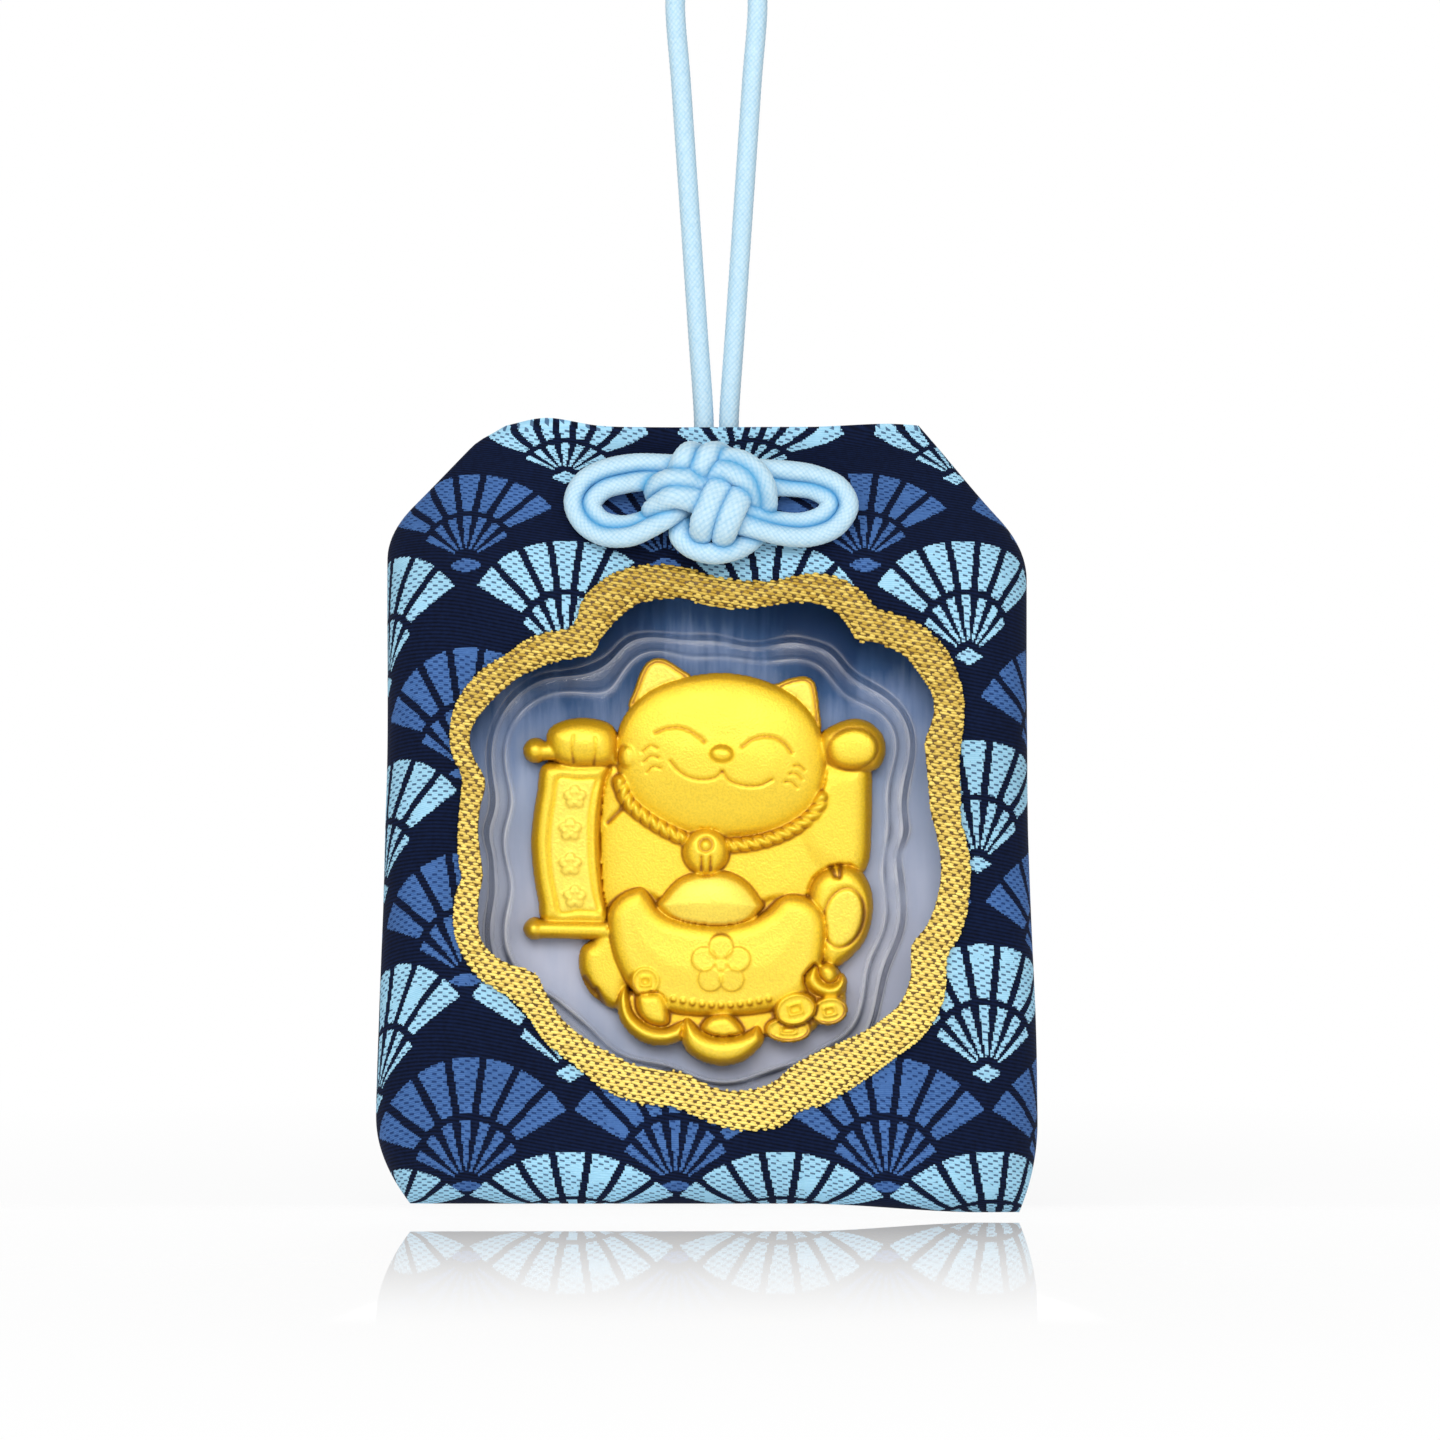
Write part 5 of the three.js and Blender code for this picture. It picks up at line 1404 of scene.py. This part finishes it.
def cat_relief():
    """The cat with its scroll, rope, bell, ingots and coins, built up from back to front."""
    r = Relief((-16.7, -20.2), (15.6, 17.0))
    body = r.inside([(-9, 7.1), (-9.1, 3.2), (-9.2, -1.5), (-8.9, -5), (-7.5, -8), (-2.2, -8.8), (5.4, -8.8),
                     (9, -6.5), (11.6, -3.2), (12.6, -0.5), (12.8, 3), (11.6, 6.6), (0.7, 6.8)])
    r.add(body, 1.0, 1.75, 4)
    ground = r.inside([(-7.6, -13), (-7.4, -15), (-6, -16.6), (-3.6, -17.2), (-2, -17), (-1, -18.2),
                       (1.3, -18.9), (3.8, -18.1), (4.9, -16.8), (6.8, -17), (8.8, -16.4), (10, -15.5),
                       (11.8, -14.8), (12, -13), (11.8, -11.5), (9, -9.5), (0, -12)])
    r.add(ground, 1.0, 1.75, 0.7)
    left_leg = r.inside([(-11.1, -10.6), (-10.9, -9.1), (-10, -8.3), (-9.4, -7.2), (-7.6, -7.4), (-6.6, -9.7),
                         (-6.6, -12.1), (-7.2, -13.8), (-8.2, -14.3), (-9.4, -13.6), (-10.5, -12.4)])
    r.add(left_leg, 0.6, 1.9, 1.5)
    arm = r.inside([(8.2, 6.8), (10.6, 7.3), (12.5, 7.1), (14.1, 7.1), (14.25, 4.4), (14.2, 0.9), (14, -1.5),
                    (13.2, -2.7), (10.7, -2.9), (8.4, -0.9), (7.8, 2.6)])
    r.add(arm, 0.6, 1.86, 1.9, soft=0.7)
    scroll = r.inside([(-14.1, 6.8), (-14.7, 4.4), (-15.1, 1.8), (-15.2, -0.3), (-15, -2.7), (-14.6, -5),
                       (-14.1, -6.8), (-11, -7), (-8.6, -6.8), (-8.9, -4.4), (-9.1, -2.1), (-9.2, 0.3),
                       (-9.1, 2.6), (-8.8, 5), (-8.4, 6.8), (-11, 7)])
    r.add(scroll, 0.7, 1.95, 1.2, cover=True)
    panel = r.inside([(-13, 5.8), (-13.5, 3.5), (-13.8, 1.5), (-13.9, -0.4), (-13.7, -2.7), (-13.3, -4.7),
                      (-12.8, -6.2), (-11, -6.1), (-9.2, -6), (-9.5, -4.1), (-9.8, -2.1), (-9.9, 0),
                      (-9.9, 2.1), (-9.6, 4.1), (-9.35, 5.7), (-11.1, 5.8)])
    r.height -= 0.14 * smoothstep(panel, -0.06, 0.1)
    r.scratch(panel - 0.3, 0.1, 0.09)
    r.paint_highlight(panel - 0.35, 0.55)
    for x, z in ((-11.4, 4.0), (-11.8, 1.2), (-11.8, -1.8), (-11.4, -4.6)):
        blossom(r, x, z, 1.0, 0.16)
    for points in ([(-14.7, 8), (-13.1, 7.9), (-6.6, 7.4)], [(-14.8, -7.4), (-8.3, -7.5)]):
        gap, _, _ = r.along(points)
        r.add(0.85 - gap, 1.0, 2.1, 0.85)
    for x, z, size in ((-14.8, 8, 1.1), (-14.9, -7.4, 0.98)):
        r.add(r.oval(x, z, size, size), 0.8, 2.3, size)

    for points in (
            [(-6.7, 11.6), (-6.3, 13.3), (-5.7, 14.9), (-5.1, 15.7), (-4.3, 16), (-3.4, 15.8), (-2.3, 15.1),
             (-1.2, 14.3), (-0.9, 13.2), (-4, 11.2)],
            [(5.3, 13.2), (6.3, 13.9), (7.4, 14.3), (8.5, 14.4), (9.2, 14), (9.5, 13.2), (9.7, 11.7),
             (9.8, 9.7), (8.4, 10.4)]):
        ear = r.inside(points)
        r.add(ear, 0.9, 1.6, 0.3)
        r.scratch(ear - 0.42, 0.13, 0.11)
        r.paint_highlight(ear - 0.5, 0.6)
    head = r.inside([(-7.9, 8.2), (-7.5, 10.3), (-6.3, 12.1), (-4.4, 13.5), (-1.6, 14.4), (1.6, 14.7),
                     (4.8, 14.1), (7.6, 12.7), (9.4, 10.6), (10.3, 7.9), (10.1, 5), (8.8, 2.8), (6.2, 1.2),
                     (2.5, 0.5), (-1, 0.7), (-4, 1.8), (-6.3, 3.5), (-7.6, 5.7)])
    r.add(head, 1.3, 2.85, 5.2, cover=True)
    r.height += 0.12 * smoothstep(head, 2, 7)
    r.emboss(r.oval(-0.9, 6.9, 2.7, 2.2, -20), 0.1, 1.2)
    r.emboss(r.oval(3.4, 6.5, 2.7, 2.2, 12), 0.1, 1.2)
    r.dome(r.oval(1.25, 7.75, 1.0, 0.7, -4), 0.42, 0.7)
    for line in ([(-4.5, 9.5), (-3.5, 9.9), (-2.5, 10), (-1.5, 9.7), (-0.6, 9.1), (-0.2, 8.7)],
                 [(3, 8.3), (3.8, 8.9), (4.8, 9.2), (5.9, 9.1), (6.8, 8.5), (7.3, 7.8)],
                 [(-3.2, 7.1), (-2.5, 6.3), (-1.5, 5.7), (-0.3, 5.5), (0.7, 5.7), (1.3, 6.2)],
                 [(1.3, 6.2), (2, 5.4), (3.2, 5), (4.6, 5), (5.6, 5.5)]):
        r.engrave(line, 0.2, 0.13)
    for line in ([(-5.6, 7.9), (-4.9, 8.4), (-4.3, 8.2)], [(-5.5, 7.0), (-4.9, 7.5), (-4.2, 7.4)],
                 [(-5.2, 6.1), (-4.7, 6.6), (-4, 6.5)], [(7.5, 6.7), (8, 6.7), (8.4, 6.3)],
                 [(7.1, 6.0), (7.7, 6), (8.2, 5.5)], [(6.7, 5.3), (7.2, 5.3), (7.8, 4.8)]):
        r.engrave(line, 0.2, 0.1)

    fist = r.inside([(-13.9, 8.8), (-13.5, 10), (-12, 10.7), (-10.1, 10.8), (-8.4, 10.3), (-7.7, 9.2),
                     (-7.7, 7.7), (-8.4, 6.7), (-10.1, 6.5), (-12, 6.6), (-13.3, 7.3)])
    r.add(fist, 1.2, 2.8, 2.2)
    r.engrave([(-11.5, 9.3), (-11.65, 8.2), (-11.5, 7)], 0.15, 0.13)
    r.engrave([(-9.6, 9.1), (-9.6, 8), (-9.75, 6.8)], 0.12, 0.13)
    r.add(r.oval(-6.7, 7.5, 0.95, 1.15), 1.8, 2.6, 0.95)

    paw = r.inside([(9.8, 9.4), (11.1, 10.3), (12.6, 10.75), (13.9, 10.5), (15, 9.6), (15.45, 8.3),
                    (15.2, 7.1), (14.5, 6.3), (12.6, 6), (10.8, 6.4), (9.8, 7.8)])
    r.add(paw, 1.0, 2.4, 1.4)
    palm = r.oval(12.55, 8.15, 2.15, 1.75, 8)
    r.dome(palm, 0.3, 1.6)
    r.scratch(palm, 0.05, 0.14)

    foot = r.inside([(8.6, -5), (9, -3.2), (10.3, -2.1), (12.1, -1.8), (13.4, -2.5), (14.2, -4.1),
                     (14.3, -6.2), (13.7, -8.3), (12.6, -9.7), (11, -10.8), (9.7, -10), (9, -8)])
    r.add(foot, 0.8, 2.35, 1.7, cover=True)
    sole = r.oval(11.75, -6.4, 1.75, 2.6, -14)
    r.scratch(sole, 0.2, 0.17)
    r.paint_highlight(sole - 0.2, 0.3)
    for line in ([(10.7, -2.1), (11.05, -2.8)], [(11.5, -2.0), (11.4, -2.9)]):
        r.engrave(line, 0.3, 0.18)
    for line in ([(-10.6, -11.6), (-9.7, -12.9)], [(-9.6, -12.6), (-9.0, -13.9)],
                 [(-8.6, 1.8), (-7.8, 2.6), (-7.2, 3.2)]):
        r.engrave(line, 0.3, 0.2)

    for line in ([(-7.5, 5.3), (-6.8, 3.6), (-5.5, 2.4), (-4, 1.4), (-2.2, 0.5), (-1, 0.1)],
                 [(1, -0.2), (3.1, -0.1), (5.1, 0.3), (6.9, 1.0), (8.5, 2.0), (9.5, 3.0), (9.9, 3.9)]):
        r.rope(line, 0.62, 1.75, 0.95)

    dome = r.inside([(-4.2, -5.6), (-3.8, -4.5), (-2.5, -3.1), (-1, -2.5), (0.6, -2.3), (2.2, -2.6),
                     (3.5, -3.4), (4.5, -4.7), (4.7, -5.7), (2.5, -7.6), (-1.6, -7.6)])
    basin = r.inside([(-5.7, -4.1), (-4.7, -4.2), (-3.6, -4.7), (0.4, -5), (4.3, -4.8), (5.5, -4.5),
                      (6.7, -4.5), (5.4, -6.6), (0.7, -7.8), (-4, -6.6)])
    r.height -= 0.35 * smoothstep(basin, -0.1, 0.5)
    r.add(dome, 1.7, 2.95, 3.2, cover=True)
    r.paint_highlight(dome - 0.5, 0.5)
    wall = r.inside([(-8.6, -6.8), (-8.3, -5.4), (-7.2, -4.3), (-5.8, -3.8), (-5.1, -4.3), (-4, -5.8),
                     (-2.2, -6.6), (0.7, -7), (3.2, -6.7), (5.1, -5.8), (6.3, -4.7), (7.3, -4.4), (8.7, -4.7),
                     (9.8, -5.6), (10.3, -7.2), (10.1, -9.6), (9.5, -11.6), (8.2, -13.3), (6.2, -14.3),
                     (3.4, -14.8), (0.4, -14.9), (-2.5, -14.7), (-5.2, -13.8), (-6.9, -12.1), (-8.1, -9.7)])
    r.add(wall, 1.6, 2.7, 1.6, cover=True)
    r.height += 0.15 * smoothstep(wall, 1.2, 4.5)
    r.paint_highlight(wall - 1.1, 0.15)
    blossom(r, 1.2, -10.4, 2.6, 0.16)
    for k in range(11):
        share = k / 10
        x, z = lerp(-2.9, 5.3, share), -13.35 - 0.55 * math.sin(math.pi * share)
        bead = r.oval(x, z, 0.24, 0.24)
        r.emboss(bead, 0.16, 0.1)
        r.shade(bead, 0.8, 0.12)

    bell = r.oval(-0.1, -0.7, 2.06, 2.06)
    r.add(bell, 1.6, 2.85, 1.8, cover=True)
    ring = r.oval(-0.1, -0.1, 0.55, 0.55)
    r.scratch(ring, 0.25, 0.16)
    for x in (-0.5, 0.3):
        r.engrave([(x, -1.1), (x, -2.3)], 0.3, 0.14)

    coin(r, -5.3, -11.85, 1.3, 1.3, 0, 2.95)
    small_ingot(r, [(9.4, -10.4), (8.8, -10.8), (8.3, -11.5), (8.4, -12.2), (9.1, -13), (10.3, -13.4),
                    (11.3, -13.3), (11.9, -12.7), (12.1, -11.8), (11.6, -11.2), (11.2, -11.8), (10.5, -12),
                    (9.8, -11.5)],
                [(9.6, -10.8), (10.2, -10.3), (10.9, -10.5), (11.3, -11.2), (11, -12), (10.4, -12.2),
                 (9.8, -11.7)], 2.5)
    coin(r, 10.55, -14.45, 1.6, 1.25, 10, 2.3)
    coin(r, 7, -16.05, 2.0, 1.15, 0, 2.4)
    coin(r, 7.6, -14.25, 1.8, 1.4, 15, 2.95)
    small_ingot(r, [(-7, -12.3), (-7.6, -12.9), (-7.8, -14), (-7.5, -15.3), (-6.6, -16.5), (-5.3, -17.3),
                    (-3.8, -17.5), (-2.6, -17.2), (-1.9, -16.8), (-1.7, -15.8), (-2, -15.2), (-3.5, -15.8),
                    (-5.1, -15.5), (-6.3, -14.6), (-6.7, -13.4)],
                [(-6.1, -13.3), (-5.6, -12.9), (-4.7, -12.8), (-4, -12.9), (-3.5, -13.7), (-3.3, -15.2),
                 (-3.8, -15.7), (-5, -15.5), (-5.9, -14.6)], 2.7)
    small_ingot(r, [(-1.8, -15), (-2.2, -16.1), (-2.2, -17.1), (-1.6, -18.1), (-0.3, -18.9), (1.3, -19.2),
                    (2.9, -18.9), (4.1, -18.1), (4.9, -17.1), (4.7, -16.2), (4.3, -15.7), (3.7, -16.1),
                    (2.4, -16.5), (0.6, -16.5), (-0.7, -15.9)],
                [(-0.5, -16.0), (0.1, -15), (1, -14.7), (1.8, -14.7), (2.5, -15.2), (3.1, -16.2),
                 (2.2, -16.9), (0.6, -16.9)], 2.8)
    return r


def blurred(field, spread):
    count = max(1, round(3 * spread / STEP))
    weights = np.exp(-0.5 * (np.arange(-count, count + 1) * STEP / spread) ** 2)
    weights /= weights.sum()
    for axis in (0, 1):
        field = np.apply_along_axis(lambda line: np.convolve(line, weights, mode="same"), axis, field)
    return field


def gold_cat(material):
    """The relief as one closed piece: its front drawn from the heights, its rim drawn back to a flat back."""
    relief = cat_relief()
    height = blurred(relief.height, 0.08)
    # Painted light and shade: level forms paler, slopes deeper, hollows and cut lines darker.
    rise_z, rise_x = np.gradient(blurred(relief.height, 0.2), STEP)
    level = 1 - smoothstep(np.hypot(rise_x, rise_z), 0.06, 0.9)
    hollow = np.clip((blurred(relief.height, 0.5) - height) / 0.5, 0, 1)
    line = np.clip((blurred(relief.height, 0.22) - height) / 0.16, 0, 1)
    painted_light_and_shade = np.clip(0.36 + 0.64 * level - 0.35 * hollow - 0.3 * line - 0.6 * relief.crevice_shade, 0, 1)
    slope_z, slope_x = np.gradient(relief.depth, STEP)
    steep = np.maximum(np.hypot(slope_x, slope_z), 0.3) ** 2
    edge = np.abs(relief.depth) < 0.6 * STEP
    shift = np.where(edge, relief.depth / steep, 0)
    x = relief.x - slope_x * shift
    z = relief.z - slope_z * shift
    piece, column, row = fine_grid("gold_cat", relief.columns, relief.rows)
    rise = np.maximum(relief.height, 0.5)
    rise = np.where(relief.depth > 0.25, np.maximum(height, 0.5), rise)
    points = np.stack([x, CAT_BACK - rise, z], 2)[row, column]
    place(piece, points + np.array([window_x, 0, window_z]))
    paint(piece, "painted_light_and_shade", painted_light_and_shade[row, column])
    paint(piece, "painted_highlight", relief.painted_highlight[row, column])
    outside = relief.depth[row, column] < -0.6 * STEP
    mesh = bmesh.new()
    mesh.from_mesh(piece.data)
    mesh.verts.ensure_lookup_table()
    bmesh.ops.delete(mesh, geom=[mesh.verts[k] for k in np.flatnonzero(outside)], context="VERTS")
    loose = [v for v in mesh.verts if not v.link_faces]
    bmesh.ops.delete(mesh, geom=loose, context="VERTS")
    rim = [e for e in mesh.edges if e.is_boundary]
    drawn = bmesh.ops.extrude_edge_only(mesh, edges=rim)
    for vertex in [g for g in drawn["geom"] if isinstance(g, bmesh.types.BMVert)]:
        vertex.co.y = CAT_BACK * MM
    back = [e for e in mesh.edges if e.is_boundary]
    bmesh.ops.triangle_fill(mesh, edges=back, use_beauty=True, use_dissolve=False)
    bmesh.ops.recalc_face_normals(mesh, faces=mesh.faces)
    mesh.to_mesh(piece.data)
    mesh.free()
    finish_with(piece, material)
    smooth(piece, 60)
    belong(piece, "lucky_cat")


gold_cat(struck_gold())


# Clear pack and boards

# The cat's rough outline as ovals (x, z, half width, half height)
CAT_OVALS = [
    (1.1, 7.6, 9, 7.1), (-10.3, 8.5, 2.7, 2.3), (12.6, 8.5, 2.6, 2.3), (11.8, 2.2, 2.4, 6.4),
    (0.4, -3.5, 11.2, 11), (-8.4, 4.2, 3, 4.6), (11.2, -5.6, 2.9, 4), (-9.4, -11.4, 2, 2.9),
    (-5.2, -15, 3.1, 2.5), (1.3, -16.9, 3.5, 2.5), (10.3, -12.1, 2, 1.9), (1.4, -13.6, 9.6, 4.3),
    (-11.9, 7.6, 4.3, 4.3), (-11.9, 0, 4.3, 4.3), (-11.9, -7.6, 4.3, 4.3), (-4.4, 11.6, 2.4, 3.9),
    (7.9, 10.9, 2.4, 3.9), (7.5, -14, 1.8, 1.8), (6.6, -16, 1.9, 1.9), (10.4, -14.4, 1.5, 1.5),
]
BLISTER_STEP = 1.2
BLISTER_SLOPE = 2.2
FLANGE = 2

# Rings of the blister's wall from foot to top: share of the slope, share of the height, painted reflection and
# painted dark line
BLISTER_RINGS = [
    (1.0, 0.0, 0.06, 0), (0.94, 0.02, 0.3, 0), (0.88, 0.04, 0.85, 0), (0.83, 0.07, 0.6, 0.8),
    (0.76, 0.16, 0.45, 1), (0.7, 0.34, 0.4, 0.8), (0.66, 0.47, 0.6, 1), (0.61, 0.51, 1, 0),
    (0.54, 0.53, 0.6, 0), (0.45, 0.54, 0.36, 0.2), (0.33, 0.56, 0.36, 0.3), (0.23, 0.62, 0.5, 0.7),
    (0.16, 0.74, 0.65, 1), (0.1, 0.86, 0.6, 0.7), (0.04, 0.93, 1, 0), (-0.01, 0.96, 0.45, 0),
    (-0.07, 0.985, 0.12, 0), (-0.16, 1.0, 0.02, 0),
]
BLISTER_TOPS = [0.85, 0.6, 0.3, 0.0]


def soften(far, reach_of=12, spread=4.5):
    """A closed ring of distances with its corners rounded."""
    ring = far[:-1]
    weights = np.exp(-0.5 * (np.arange(-reach_of, reach_of + 1) / spread) ** 2)
    weights /= weights.sum()
    ring = np.convolve(np.concatenate([ring[-reach_of:], ring, ring[:reach_of]]), weights, mode="valid")
    return np.append(ring, ring[0])


def blister(material):
    """The clear cover: a flat flange, two soft steps and a level top over the cat."""
    around = 360
    angle = full_turn(around)
    ripple = np.sin(9 * angle + 2 * np.sin(4 * angle)) + 0.6 * np.sin(21 * angle + 1.7 * np.sin(6 * angle))
    rise = FLANGE_FRONT - BLISTER_TOP

    def ring(out, up, inset):
        far = soften(reach(CAT_OVALS, angle, BLISTER_STEP + BLISTER_SLOPE * out - inset))
        return far + 0.16 * out * ripple, FLANGE_FRONT - rise * up + inset

    past_wall = reach(CAT_OVALS, angle, BLISTER_STEP + BLISTER_SLOPE + FLANGE)
    flange = np.maximum(window_reach(angle, FLANGE), past_wall)
    skirt = np.minimum(ring(1, 0, 0)[0] + 0.35, flange - 0.2)

    def skin(inset):
        """One face of the sheet, from the rim of the flange to the middle of the top."""
        rings = [(far, FLANGE_FRONT + inset) for far in (flange, skirt)]
        rings += [ring(out, up, inset) for out, up, _, _ in BLISTER_RINGS]
        top_far, top_y = rings[-1]
        return rings + [(top_far * share, top_y) for share in BLISTER_TOPS]

    outer = skin(0)
    rings = outer[::-1] + skin(BLISTER_WALL)
    piece, column, row = fine_grid("clear_blister", around, len(rings) - 1)
    far = np.array([far for far, _ in rings])[row, column]
    depth = np.array([y for _, y in rings])[row]
    x, z = window_x + far * np.cos(angle[column]), window_z + far * np.sin(angle[column])
    place(piece, np.stack([x, depth, z], 1))
    # Painted glints: the painted reflection varies round the wall and is stronger towards the bottom.
    streak = 0.75 + 0.25 * np.sin(7 * angle + 1.3 * np.sin(11 * angle))
    streak += 0.2 * np.sin(23 * angle + 2 * np.sin(5 * angle))
    streak *= 0.88 - 0.5 * np.sin(angle)
    tints = np.zeros((len(rings), 2))
    wall = len(BLISTER_TOPS) + np.arange(len(BLISTER_RINGS))
    tints[wall] = [tint for _, _, *tint in BLISTER_RINGS[::-1]]
    tints[wall[-1] + 1, 0] = 0.02
    paint(piece, "painted_reflection", tints[row, 0] * streak[column])
    paint(piece, "painted_dark_lines", tints[row, 1])
    weld(piece)
    finish_with(piece, material)
    smooth(piece, 60)
    belong(piece, "blister_cover")


blister(clear_sheet("clear_formed_sheet", True))
for node, material in (("backing_card", card_print_and_shade()),
                       ("blister_back", clear_sheet("clear_flat_sheet", False)),
                       ("stiffener_board", grey_board())):
    finish_with(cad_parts[node], material)
